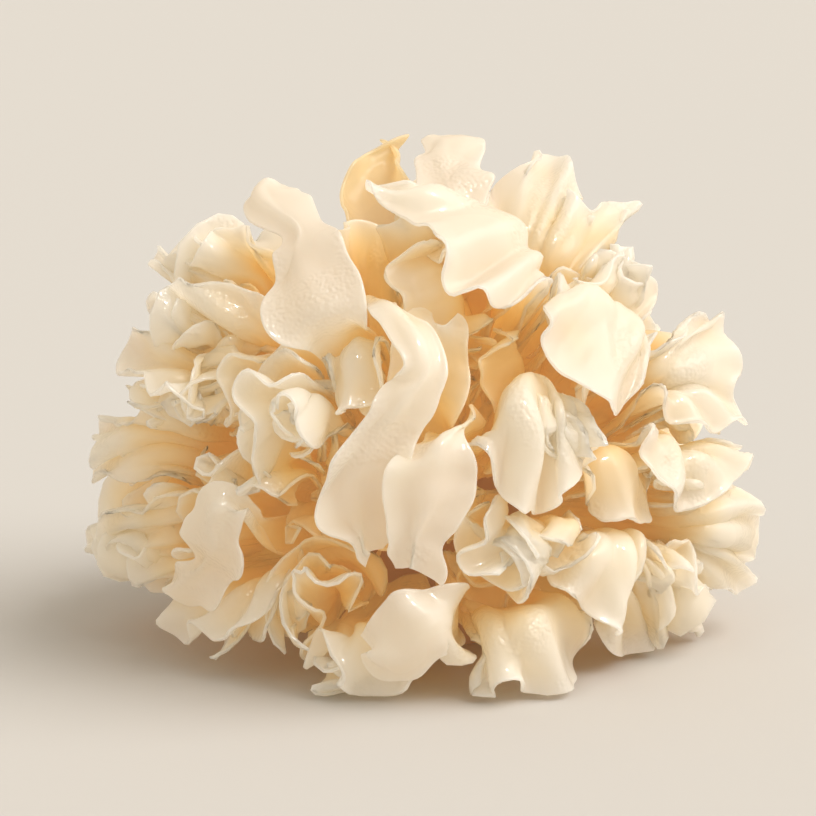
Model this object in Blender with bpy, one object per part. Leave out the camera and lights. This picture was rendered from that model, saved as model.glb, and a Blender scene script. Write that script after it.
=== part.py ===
"""Snow fungus: one fruiting body of thin frilled fronds that grow from a common base, cut flat where it grew.

Metres, +Z up. The origin is the centre of the flat cut, and the front looks towards -Y.
"""

import math

import bpy
import numpy as np

MM = 0.001

# The base is an upright egg of tough tissue, in millimetres, with low lumps and a flat cut at z = 0.
BASE_CENTRE = np.array([0.0, 0.0, 20.0])
BASE_RADII = np.array([22.0, 21.0, 28.0])
BASE_LUMP = 0.05
BASE_LUMPS_ROUND = 5
BASE_SIDES = 20
BASE_RINGS = 8

# A frond is a sheet of this thickness, and its root keeps clear of the base by the gap.
SHEET = 1.3
ROOT_GAP = 1.0
ROOT_HALF_WIDTH = 4.4
LOWEST_MIDDLE = 0.5 * SHEET + 0.1

# The front view, in which the fronds are described: camera distance, tilt and aim, in millimetres.
VIEW_TILT = math.radians(10.0)
VIEW_DISTANCE = 433.0
VIEW_ACROSS = -2.2
VIEW_UP = 53.5
VIEW_HEIGHT = 41.0

# The dome that the fronds reach. Points are given in the front view as across, up and inset:
# how far behind the dome's front they lie, and a negative inset stands proud of it.
DOME_RADII = (62.0, 52.0, 60.0)
DOME_UP = 46.0

# Leaves: two edges from the root to the tip, and how far the middle bows out between them.
LEAVES = {
    "ribbon": (
        [(-16, 60, 14), (-21, 64.7, 4), (-24, 65.2, 2), (-26.3, 68, 1), (-26.8, 72, 1), (-26.5, 76, 1), (-24.5, 79.5, 1),
         (-23.2, 82, 2), (-24, 84.2, 2), (-26.5, 86, 2), (-28.7, 88.5, 2), (-28.6, 90.5, 2), (-26.5, 92.5, 2)],
        [(-6, 66, 14), (-9, 71.5, 4), (-9.5, 73.5, 3), (-11, 76.8, 3), (-14, 80, 3), (-16.5, 81.5, 3), (-17.3, 84, 3),
         (-19, 86.6, 3), (-22, 88.3, 3), (-24, 90.3, 3), (-26, 92.7, 3)],
        3.0,
    ),
    "swan_neck": (
        [(-11, 71.5, 10), (-8, 69.5, 1), (-6.3, 67.5, -1), (-6.3, 65, -2), (-4, 62.5, -3), (-2.5, 60.5, -3),
         (-2.3, 58, -3), (-4.5, 55.7, -3), (-8, 54.3, -3), (-10.5, 51.5, -3), (-14, 48.7, -3), (-17, 45, -3),
         (-19, 40.5, -3), (-20.3, 37, -2), (-18.5, 33, -2), (-15, 30.6, -2), (-12.3, 29.6, -2), (-12.4, 27.4, -2),
         (-10.2, 26.3, -1)],
        [(-7, 71, 12), (-3, 69.5, 4), (0, 67.5, 2), (1.2, 64, 0), (1.5, 60, -1), (1.2, 56, -1), (1, 52, -1),
         (-0.5, 48.5, 0), (-3, 44.5, 0), (-5, 40, 1), (-6, 35, 1), (-7.5, 32.5, 1), (-9, 29.5, 1), (-8.7, 27.3, 1)],
        2.0,
    ),
    "heart_back": (
        [(-6, 50, 16), (-6, 58, 8), (-5.5, 64, 6), (-4, 67.5, 4), (0, 68.2, 3)],
        [(8, 48, 14), (8.6, 54, 6), (8.7, 58, 5), (8, 62, 5), (6, 66, 4), (3.5, 68.3, 3)],
        2.0,
    ),
    "tongue": (
        [(4, 48, 14), (-0.5, 44.6, 2), (-3, 43.9, 1), (-5.2, 42.6, -1), (-6.8, 40, -2), (-6.9, 37, -3),
         (-5.2, 33, -3), (-4, 30.5, -3), (-2.9, 27, -3), (-2.4, 25, -3)],
        [(14, 50, 14), (12, 51.3, 3), (9, 49, 1), (9, 45, 0), (9.4, 41, 0), (8.9, 38, -1), (7.3, 35, -2),
         (4.8, 31.8, -3), (2, 29.2, -3), (0.3, 26, -3), (-0.8, 24.4, -3)],
        3.0,
    ),
    "oyster": (
        [(9, 21, 8), (6, 21.3, -2), (2, 21, -4), (-2, 20, -5), (-5.5, 17.7, -5), (-8.3, 14.5, -6), (-9.2, 11.5, -6)],
        [(10, 12, 8), (7.3, 9, -5), (5.5, 10.8, -7), (3.3, 10.2, -8), (1, 8.5, -8), (-1.5, 7.1, -8), (-4.5, 7.2, -8),
         (-7.3, 8.6, -7), (-9, 10.5, -6)],
        4.0,
    ),
    "tan_leaf": (
        [(-8, 76, 34), (-13, 84, 34), (-15, 90.5, 34), (-14, 95, 34), (-11, 98.5, 34), (-7, 101, 34), (-5, 102.4, 34)],
        [(2, 76, 34), (2, 84, 34), (0.5, 91, 34), (-1.5, 95, 34), (-3, 98, 34), (-3.8, 101, 34), (-4.6, 102.4, 34)],
        -2.0,
    ),
    "column": (
        [(-1, 78, 20), (0.3, 88, 18), (0.3, 94, 18), (0.3, 98, 18), (1.5, 101.3, 18), (4, 102, 18)],
        [(12, 78, 20), (11, 88, 18), (9.6, 93, 18), (9.2, 97.5, 18), (8.4, 101.2, 18), (5, 102, 18)],
        3.0,
    ),
    "left_ribbon": (
        [(-29, 34, 10), (-33.5, 38.3, 2), (-36.5, 37.2, 1), (-38, 33.5, 1), (-38.7, 30, 1), (-40, 27, 2),
         (-41.7, 23.7, 3), (-44, 21, 4)],
        [(-25, 28, 12), (-29.5, 35.5, 2), (-31.5, 33, 1), (-32.5, 29.7, 1), (-31.7, 26.5, 1), (-33, 24, 2),
         (-36, 22, 3), (-41, 20, 4)],
        3.0,
    ),
}

# Fans: the rim and the shoulder that it hangs or stands from, both from the same end.
FANS = {
    "peak": (
        [(9.3, 41, 0), (10.2, 37.6, 0), (12.5, 36.8, 0), (15, 35.9, 0), (17.5, 36.8, 0), (20, 36.2, 0), (23, 36.8, 0),
         (26, 38.7, 0), (27.6, 42, 0), (27.2, 45.5, 1), (29, 47.5, 2), (31.5, 47.3, 2), (33.8, 45.6, 3)],
        [(8.5, 49.5, 1), (12, 53, 0), (14.5, 57, -1), (18, 61, 0), (21, 62.5, 1), (24, 61, 1), (25.3, 57, 0),
         (26, 53, 0), (29, 50, 1), (33, 48.5, 3)],
    ),
    "left_cheek": (
        [(-17, 64, 2), (-19, 64.3, 1), (-22, 63.6, 0), (-26, 62.6, 0), (-30, 60.7, 0), (-31.8, 57, 0), (-32, 52, 0),
         (-31.5, 48.5, 0), (-30.5, 45, 0), (-31.5, 41.5, 0), (-33, 38.5, 0), (-31.5, 36.6, 0), (-29, 37.2, 0),
         (-26.5, 39.2, 0), (-23, 39.4, 1), (-20.5, 38, 2)],
        [(-15, 58, 8), (-21, 57, 7), (-24, 53, 7), (-24, 48, 8), (-22, 44, 9), (-19, 42, 10)],
    ),
    "arch": (
        [(-12, 48.5, -1), (-15, 48.6, -2), (-18, 50.3, -2), (-20, 53, -2), (-22.5, 55.8, -2), (-25, 56.4, -1),
         (-27.2, 54.5, -1), (-27, 51.5, -1), (-26, 48, 0), (-25.3, 44.5, 0), (-26, 42, 1)],
        [(-14, 53, 6), (-18, 55, 6), (-21, 53, 6), (-22, 50, 6), (-21, 46, 7)],
    ),
    "scroll_face": (
        [(-19, 52, 5), (-15, 50, 5), (-10, 53, 5), (-6, 56, 4), (-3, 59, 4)],
        [(-20, 62, 6), (-13, 64, 7), (-6, 66, 7)],
    ),
    "crown": (
        [(1, 91.5, 8), (-3, 92.5, 5), (-6, 93.6, 4), (-9, 93.2, 4), (-10.5, 91, 3), (-9.3, 88.9, 3), (-6.5, 88.1, 3),
         (-3, 87.2, 2), (-0.5, 86, 1), (1, 84.5, 0), (1.7, 81, -1), (2.4, 78.3, -1), (4, 75, -1), (7, 72, -2),
         (10, 69.7, -2), (13, 68.5, -2), (16, 68.3, -1), (18.7, 69.5, 0)],
        [(3, 90, 9), (0, 90.5, 6), (-2, 90.3, 4), (1, 90, 3), (7, 91, 3), (12, 90.5, 3), (17, 87, 3), (21, 82, 3),
         (23, 76, 3)],
    ),
    "under_crown": (
        [(-4, 84, 6), (-5.8, 81, 6), (-7, 77.5, 6), (-7.3, 74, 6), (-6.6, 70.8, 6), (-5, 68.5, 7), (0, 67, 9),
         (5, 66, 10), (10, 64, 11)],
        [(3, 83, 10), (3, 78, 10), (4, 74, 10), (8, 71, 11), (13, 68, 12)],
    ),
    "crown_left": (
        [(-3, 85, 20), (-6, 87, 20), (-10, 87.3, 20), (-14, 86.8, 20), (-17, 85, 20), (-21, 88, 20), (-25, 86.5, 20)],
        [(-5, 75, 24), (-9, 76, 24), (-13, 75, 24), (-17, 74, 24), (-21, 73, 22)],
    ),
    "top_right": (
        [(11, 95.5, 20), (13.5, 98.3, 20), (17, 97.5, 20), (20, 99.4, 20), (23.5, 99, 20), (26, 97, 20),
         (27.7, 92.5, 20), (27.5, 88.7, 18), (30.5, 89.3, 20), (34, 90, 20), (37.7, 89.5, 20), (39.3, 87.2, 20),
         (37, 85.2, 18), (35.2, 84, 16)],
        [(11, 86, 22), (15, 86, 20), (19, 86, 18), (22, 83, 17), (26, 80, 17), (29, 78, 17), (31, 75, 16)],
    ),
    "right_brow": (
        [(21, 71.5, 2), (19.3, 68.5, 0), (18.8, 65, 0), (20, 61.7, 0), (22, 58, 0), (25, 54.8, 0), (28.3, 51.3, 0),
         (32, 49.9, 0), (36, 50.6, 1), (39, 53, 2)],
        [(24, 76, 5), (26, 76, 4), (29, 75, 3), (33, 73, 3), (37, 70, 4), (41, 66, 6)],
    ),
    "right_shoulder": (
        [(24, 79, 8), (27, 80.5, 8), (30, 79, 8), (33, 80, 9), (36, 83, 11), (36.2, 79, 10), (37.5, 77.3, 9),
         (41, 77, 10), (44, 74, 10), (44.6, 70.3, 9)],
        [(25, 73, 14), (28, 73, 14), (32, 72, 14), (35, 70, 14), (38, 67, 14)],
    ),
    "right_cheek": (
        [(44.6, 69.5, 6), (48, 70, 6), (52, 72, 7), (54, 69, 6), (54.8, 65, 6), (56.7, 60, 5), (55.5, 57.5, 5),
         (56.5, 53, 5), (57, 48.5, 5), (53, 47.5, 4), (49, 47.2, 3), (46, 48.5, 3), (43, 50, 3), (41, 53, 3)],
        [(40, 64, 10), (44, 63, 9), (47, 60, 8), (48, 56, 7), (46, 54, 6), (43, 54, 6)],
    ),
    "right_jaw": (
        [(37.5, 50, 3), (37.4, 47, 1), (37.2, 44.8, 1), (39, 42, 0), (40.8, 38.5, 0), (42, 35.7, 0), (45, 35.2, 0),
         (48.5, 36, 1), (52, 38, 2), (56, 40.5, 3), (59.5, 42.5, 5), (60, 45, 5), (58.5, 47.5, 5)],
        [(40, 48, 5), (43, 47, 4), (46, 45, 4), (49, 45, 4), (53, 46, 5)],
    ),
    "right_low": (
        [(50, 41, 8), (54, 41, 8), (58, 38, 7), (58.5, 36.5, 7), (60.7, 32, 7), (59.3, 28.5, 7), (57, 24, 6),
         (55, 21.7, 5), (52.5, 22, 4), (50, 20, 4), (48, 22, 3)],
        [(46, 37, 8), (49, 35, 8), (51, 32, 8), (50, 28, 8), (47, 26, 7)],
    ),
    "right_flank": (
        [(43, 32, 3), (46, 32, 3), (48.5, 29, 3), (49, 25, 3), (50, 20, 3), (49, 17, 3), (50, 14.5, 3), (48, 10, 3),
         (45.5, 10, 2), (44.5, 7, 1)],
        [(40, 27, 8), (42, 25, 7), (43, 22, 6), (43, 18, 5), (41, 15, 4)],
    ),
    "right_field": (
        [(29, 33, 2), (33, 31.5, 2), (37, 30.5, 2), (41, 31, 3), (44, 33, 4)],
        [(28, 44, 6), (33, 45, 6), (38, 44, 6), (42, 42, 8)],
    ),
    "lip": (
        [(13, 37.3, 3), (11, 36.6, 0), (9.6, 34.5, -1), (9.6, 32, -2), (9.9, 30, -2), (8.6, 27.8, -3),
         (7.2, 25.6, -3), (8, 23.6, -3), (11, 22, -4), (14.5, 21.8, -4), (17.3, 23.6, -4), (18.7, 26, -3),
         (20.5, 27.7, -2), (23, 27.7, -2), (25.5, 27, -2), (28, 26.5, -1)],
        [(17, 37, 6), (16, 35, 4), (15.5, 32.5, 2), (17, 31, 1), (20, 31, 1), (24, 31.5, 1), (28, 32, 2)],
    ),
    "apron": (
        [(18.7, 25.5, 0), (21, 23.8, -2), (24, 21.3, -3), (27, 19, -3), (29.5, 16.6, -4), (32, 14.9, -4),
         (34.2, 15.2, -3), (35.5, 17.5, -2), (35.8, 21, 0), (38, 22, 1)],
        [(23, 29, 1), (27, 30, 0), (31, 30.5, 0), (34, 31, 1), (37, 32, 2), (40, 32, 4)],
    ),
    "skirt_right": (
        [(5.5, 10.5, -6), (7.2, 9, -8), (6.4, 6.5, -9), (6.6, 4.5, -10), (8.2, 3, -11), (10.8, 2.6, -11),
         (13, 3.8, -11), (14.5, 6, -10), (16.2, 8, -9), (18, 8, -9), (19.5, 5.8, -10), (21.5, 4.2, -11),
         (23.7, 3.6, -12), (25.7, 2, -12), (26.8, 0.9, -13), (28, 0.2, -13), (29.6, 0.6, -12), (31.2, 1.2, -11),
         (32.7, 3, -10)],
        [(6, 13, 2), (10, 15, 0), (14, 17, -2), (18, 19, -3), (22, 20, -3), (25, 19, -2), (28, 16, -1)],
    ),
    "hem_right": (
        [(30.5, 5, -3), (33, 3, -6), (36, 1.8, -7), (39, 0.6, -7), (41, 0.3, -7), (42.3, 3, -6), (43.5, 6, -5),
         (45, 10, -3), (44, 13, -2), (46, 16, 0), (47, 20, 1)],
        [(32, 14, 0), (35, 16, -1), (38, 19, -1), (40, 22, 0), (42, 26, 2)],
    ),
    "saucer": (
        [(-22, 4.5, -4), (-21.3, 7, -5), (-20.3, 10, -6), (-19, 11.8, -7), (-17.8, 11, -8), (-17.4, 8, -9),
         (-16.5, 5.2, -10), (-14, 2.6, -12), (-11, 1.1, -13), (-7.5, 0.5, -14), (-4, 0.9, -14), (-0.5, 2, -13),
         (2.5, 4, -12), (4.7, 6.8, -10), (5.6, 9.3, -8)],
        [(-19, 12, 2), (-17, 12.5, 1), (-13, 12.5, -1), (-8, 12.5, -3), (-3, 13, -3), (2, 13, -2), (6, 12, 0)],
    ),
    "crumple": (
        [(-21.5, 4.5, -1), (-22.8, 8.5, -2), (-22.4, 13, -2), (-24, 18, -2), (-23.3, 23, -2), (-22.3, 26.5, -1),
         (-20.7, 27.8, -1), (-18.8, 26.3, -1), (-16.5, 24.8, -1), (-13, 24.9, -1), (-10.5, 23.3, -1),
         (-9, 20.5, -1), (-7.5, 17.5, -1)],
        [(-17, 9, 10), (-18, 14, 9), (-18.5, 19, 8), (-17, 22, 8), (-14, 20, 9), (-11, 17, 10)],
    ),
    "left_hem": (
        [(-24, 19.5, 0), (-25, 16.8, -1), (-27, 13.8, -2), (-30, 12, -3), (-33.5, 11.6, -4), (-36.5, 12.7, -4),
         (-40, 12.6, -3), (-43, 12.5, -1), (-45, 14, 1), (-47, 17, 3), (-46.3, 20.5, 4)],
        [(-22, 24, 8), (-26, 23, 6), (-30, 21, 5), (-34, 20, 5), (-38, 21, 6), (-41, 24, 8)],
    ),
    "left_fold": (
        [(-33, 47.5, 3), (-36, 49.3, 3), (-39, 47, 3), (-40.7, 44.5, 3), (-39, 41.5, 3), (-40, 37, 3),
         (-38, 34.5, 3), (-41, 32, 4), (-44, 31, 4), (-46, 27, 4), (-47, 23.5, 5)],
        [(-27, 44, 14), (-30, 41, 14), (-31, 37, 14), (-33, 32, 14), (-36, 28, 14)],
    ),
    "left_field": (
        [(-28, 66, 8), (-32, 66, 7), (-36, 64, 6), (-37.5, 60, 6), (-37, 55, 6), (-37.5, 50, 7), (-34, 47, 8),
         (-30, 45, 9)],
        [(-22, 62, 16), (-26, 61, 15), (-29, 58, 15), (-29, 54, 15), (-27, 50, 16)],
    ),
    "left_cheek_back": (
        [(-40, 67, 4), (-39.6, 64, 4), (-38.2, 60, 4), (-38.6, 55.5, 4), (-39.2, 51, 4), (-40.5, 54.7, 3),
         (-42, 53.3, 2), (-44.5, 53, 2), (-47, 55, 2), (-48.5, 57.5, 2), (-50, 57, 3), (-53, 57.5, 4),
         (-54, 61, 4), (-54, 66, 4), (-53, 70, 4), (-50, 71, 5)],
        [(-34, 64, 12), (-36, 59, 12), (-38, 58, 11), (-41, 59, 10), (-43, 62, 10), (-42, 66, 10)],
    ),
    "left_ear": (
        [(-50, 54, 4), (-54, 53.5, 5), (-56.5, 53, 5), (-58, 50, 5), (-57.5, 46, 5), (-59, 42, 5), (-58.5, 39, 5),
         (-56.5, 37.7, 5), (-53, 38, 4)],
        [(-43, 52, 10), (-46, 49, 10), (-47, 45, 10), (-46, 41, 10)],
    ),
    "left_low": (
        [(-52, 36, 4), (-56, 37, 5), (-58.5, 34, 5), (-60.5, 30.5, 5), (-59.5, 28, 5), (-57, 27.8, 4),
         (-54, 29.5, 4), (-52, 28, 4), (-52.7, 25, 4), (-50, 20.5, 4), (-47, 20.5, 4)],
        [(-44, 38, 10), (-46, 34, 10), (-46, 30, 10), (-44, 26, 10), (-41, 24, 10)],
    ),
    "left_temple": (
        [(-30, 78, 6), (-33, 76.5, 5), (-37, 77.5, 5), (-41, 77.5, 5), (-44, 75, 5), (-46.5, 73.5, 5),
         (-49, 71.5, 6), (-46, 68, 5), (-43, 65, 4), (-40.5, 66.5, 4)],
        [(-26, 70, 12), (-30, 68, 11), (-34, 67, 11), (-37, 64, 11), (-36, 60, 12)],
    ),
    "left_crest": (
        [(-24, 85.5, 12), (-27, 86.5, 10), (-30, 88, 10), (-33, 86, 10), (-37, 85.3, 10), (-39.5, 81.5, 9),
         (-42.5, 82, 9), (-46, 83, 9), (-48.5, 81, 9), (-49.5, 78, 8), (-47.5, 75.5, 8), (-46, 73.5, 8)],
        [(-22, 77, 18), (-27, 77, 17), (-31, 75, 16), (-35, 72, 16), (-37, 69, 16)],
    ),
    "inner_left": (
        [(-29, 33, 9), (-27, 30, 9), (-24, 28, 9), (-20, 30, 10), (-16, 29, 11), (-11, 27, 12), (-5, 25, 12),
         (1, 23, 12)],
        [(-22, 36, 20), (-18, 36, 20), (-12, 34, 20), (-5, 32, 20), (1, 30, 20)],
    ),
    "inner_right": (
        [(4, 28, 8), (6, 23, 8), (9, 19, 8), (12, 15.5, 7), (15, 14, 6), (18, 13, 6)],
        [(9, 29, 16), (12, 26, 16), (15, 23, 15), (18, 21, 14)],
    ),
    "gill": (
        [(9, 66, 9), (10, 60, 9), (10, 55, 9), (9, 51, 9)],
        [(16, 68, 14), (17, 62, 14), (17, 57, 14), (15, 53, 14)],
    ),
}

# Rings of fronds on the side that the front view hides: count, first azimuth, step, height above level,
# reach and half width. Azimuth 0 is the front and 90 the right.
RINGS = {
    "back_low": (7, 86, 31, 9, 54, 22),
    "back_mid": (7, 92, 29, 37, 57, 21),
    "back_high": (4, 112, 45, 64, 61, 20),
    "back_top": (1, 185, 0, 82, 62, 14),
}
TURN = 32.0
RUFFLE = 6.0
DROOP = -10.0


def dome_depth(across, up):
    """Depth along +Y of the dome's front at a place of the front view."""
    wide, deep, high = DOME_RADII
    return -deep * np.sqrt(np.maximum(0, 1 - (across / wide) ** 2 - ((up - DOME_UP) / high) ** 2))


def from_front(points):
    """Real places of points given as across, up and inset, by the front view's tilt and perspective."""
    across, up, inset = np.moveaxis(np.asarray(points, float), -1, 0)
    depth = dome_depth(across, up) + inset
    cos, sin = math.cos(VIEW_TILT), math.sin(VIEW_TILT)
    rise = up - VIEW_UP
    high = (rise * (VIEW_DISTANCE + depth * cos) - VIEW_DISTANCE * depth * sin) / (VIEW_DISTANCE * cos + rise * sin)
    nearer = VIEW_DISTANCE / (VIEW_DISTANCE + depth * cos - high * sin)
    return np.stack([VIEW_ACROSS + (across - VIEW_ACROSS) / nearer, depth, VIEW_HEIGHT + high], axis=-1)


def unit(vector):
    return vector / np.linalg.norm(vector, axis=-1, keepdims=True)


def base_reach(direction):
    """How far the base's surface is from its centre along unit directions: an ellipsoid with low lumps round it."""
    plain = 1 / np.linalg.norm(direction / BASE_RADII, axis=-1)
    angle = np.arctan2(direction[..., 1], direction[..., 0])
    flat = 1 - direction[..., 2] ** 2
    return plain * (1 + BASE_LUMP * flat * np.sin(BASE_LUMPS_ROUND * angle + 3 * direction[..., 2]))


def on_base(points):
    """The points moved along their direction from the base's centre to just clear of its surface."""
    direction = unit(points - BASE_CENTRE)
    return BASE_CENTRE + direction * (base_reach(direction) + ROOT_GAP)[..., None]


def spline(knots, at):
    """Points at the parameters, 0 to 1, of the Catmull-Rom curve through equally spaced knots on the first axis."""
    knots = np.asarray(knots, float)
    last = len(knots) - 1
    ends = np.concatenate([2 * knots[:1] - knots[1:2], knots, 2 * knots[-1:] - knots[-2:-1]])
    place = np.clip(np.asarray(at) * last, 0, last - 1e-9)
    cell = place.astype(int)
    t = (place - cell).reshape((-1,) + (1,) * (knots.ndim - 1))
    a, b, c, d = (ends[cell + n] for n in range(4))
    return b + 0.5 * t * (c - a + t * (2 * a - 5 * b + 4 * c - d + t * (3 * (b - c) + d - a)))


def evenly(knots, count):
    """Points evenly spaced by length along the curve through the knots."""
    fine = spline(knots, np.linspace(0, 1, 200))
    run = np.concatenate([[0], np.cumsum(np.linalg.norm(np.diff(fine, axis=0), axis=1))])
    at = np.linspace(0, run[-1], count)
    return np.stack([np.interp(at, run, fine[:, axis]) for axis in range(3)], axis=1)


def root_of(start, wide):
    """The root's line on the base: below the frond's start and along its width, from one end to the other."""
    middle = on_base(start * 0.5 + BASE_CENTRE * 0.5)
    outward = unit(middle - BASE_CENTRE)
    along = unit(wide - outward * np.dot(wide, outward)) * ROOT_HALF_WIDTH
    return on_base(middle - along), on_base(middle + along)


def leaf_net(edges, columns, rows):
    """Grid of a leaf: bowed lines across between its two edges, which run from the root to the tip."""
    one, other, bow = edges
    one, other = evenly(from_front(one), rows - 2), evenly(from_front(other), rows - 2)
    left, right = root_of((one[0] + other[0]) / 2, other[0] - one[0])
    one = np.concatenate([[left, (left + one[0]) / 2], one])
    other = np.concatenate([[right, (right + other[0]) / 2], other])
    u = np.linspace(0, 1, columns)[:, None, None]
    out = unit((one + other) / 2 - BASE_CENTRE) * bow * np.minimum(1, np.arange(rows) / 3)[:, None]
    return one * (1 - u) + other * u + out * 4 * u * (1 - u)


def fan_net(rim, shoulder, columns):
    """Grid of a fan: from the root out to halfway, on to the shoulder, and over to the rim."""
    left, right = root_of(shoulder.mean(axis=0), shoulder[-1] - shoulder[0])
    u = np.linspace(0, 1, columns)[:, None]
    root = on_base(left + (right - left) * u)
    halfway = 0.5 * (root + shoulder) + unit(root - BASE_CENTRE) * 2.0
    return np.stack([root, halfway, shoulder, rim], axis=1)


def hidden_fan(azimuth, height, reach, half_width, number, columns):
    """Rim and shoulder of a fan that stands out from the base in one direction and waves about its own sheet."""
    a, h = math.radians(azimuth), math.radians(height)
    turn = math.radians(TURN + 10 * math.sin(2.4 * number))
    outward = np.array([math.sin(a) * math.cos(h), -math.cos(a) * math.cos(h), math.sin(h)])
    level = np.array([math.cos(a), math.sin(a), 0.0])
    upright = np.cross(outward, level)
    wide = level * math.cos(turn) - upright * math.sin(turn)
    over = np.cross(outward, wide)
    u = np.linspace(-1, 1, columns)[:, None]
    waves = 2.2 * math.pi
    wave = np.sin(u * waves + 0.8 * number)
    rim = (
        BASE_CENTRE
        + outward * (reach * (1 - 0.12 * u**2) - 3 + 2.5 * np.cos(u * waves * 1.3 + 2 * number))
        + wide * half_width * (u + 0.15 * np.sin(2 * u * waves + number))
        + over * (RUFFLE * wave + DROOP)
    )
    shoulder = (
        BASE_CENTRE
        + outward * reach * (0.86 - 0.1 * u**2)
        + wide * half_width * 0.8 * u
        + over * RUFFLE * 0.4 * wave
    )
    return rim, shoulder


LEAF_GRID = (4, 10)
FAN_COLUMNS = 11


def nets():
    """Every frond's grid as it would stand alone, by name."""
    made = {name: leaf_net(edges, *LEAF_GRID) for name, edges in LEAVES.items()}
    for name, lines in FANS.items():
        made[name] = fan_net(*(evenly(from_front(line), FAN_COLUMNS) for line in lines), FAN_COLUMNS)
    number = 0
    for ring, (count, first, step, height, reach, half_width) in RINGS.items():
        for n in range(count):
            number += 1
            lines = hidden_fan(first + n * step, height, reach, half_width, number, FAN_COLUMNS)
            made[f"{ring}_{n + 1}"] = fan_net(*lines, FAN_COLUMNS)
    return made


# How the fronds make room for each other as they grow.
STEPS = 54
REST_STEPS = 24
LOOK_EVERY = 3
MARGIN = 1.2
CLEAR_AT_ROOT = 2.4
CLEAR_AT_RIM = 3.4
SAMPLE_MM = 2.0
FIRST_SIZE = 0.1


def between(count, every):
    """Matrix that takes grid points to samples, with this many straight steps between neighbours."""
    samples = (count - 1) * every + 1
    place = np.linspace(0, count - 1, samples)
    return np.maximum(0, 1 - np.abs(place[:, None] - np.arange(count)[None, :]))


def smoothed(field):
    """The field moved a little towards the mean of its neighbours on the grid."""
    wide = np.pad(field, ((1, 1), (1, 1), (0, 0)), mode="edge")
    mean = (wide[:-2, 1:-1] + wide[2:, 1:-1] + wide[1:-1, :-2] + wide[1:-1, 2:]) / 4
    return field + 0.35 * (mean - field)


def spacing(net, axis):
    """Steps between neighbours along one axis of the grid that keep the samples close together."""
    longest = np.linalg.norm(np.diff(net, axis=axis), axis=-1).mean() * 1.4
    return max(1, math.ceil(longest / SAMPLE_MM))


def close_pairs(cloud, owner, reach):
    """Pairs of samples of different fronds that are within reach, found by sorting them into cubes of that size."""
    cell = np.floor((cloud - cloud.min(axis=0)) / reach).astype(np.int64) + 1
    size = cell.max(axis=0) + 2
    key = (cell[:, 0] * size[1] + cell[:, 1]) * size[2] + cell[:, 2]
    order = np.argsort(key, kind="stable")
    ranked = key[order]
    first, second = [], []
    for dx in (-1, 0, 1):
        for dy in (-1, 0, 1):
            for dz in (-1, 0, 1):
                step = (dx * size[1] + dy) * size[2] + dz
                if step < 0:
                    continue
                start = np.searchsorted(ranked, ranked + step, side="left")
                stop = np.searchsorted(ranked, ranked + step, side="right")
                count = stop - start
                i = np.repeat(np.arange(len(cloud)), count)
                j = np.arange(len(i)) - np.repeat(np.cumsum(count) - count, count) + np.repeat(start, count)
                i, j = order[i], order[j]
                keep = (owner[i] != owner[j]) & ((step > 0) | (i < j))
                i, j = i[keep], j[keep]
                gap = cloud[i] - cloud[j]
                near = np.einsum("ij,ij->i", gap, gap) < reach * reach
                first.append(i[near])
                second.append(j[near])
    return np.concatenate(first), np.concatenate(second)


def totals(index, values, length):
    """Sums of the rows of values that share an index."""
    return np.stack([np.bincount(index, weights=column, minlength=length) for column in values.T], axis=1)


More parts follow.
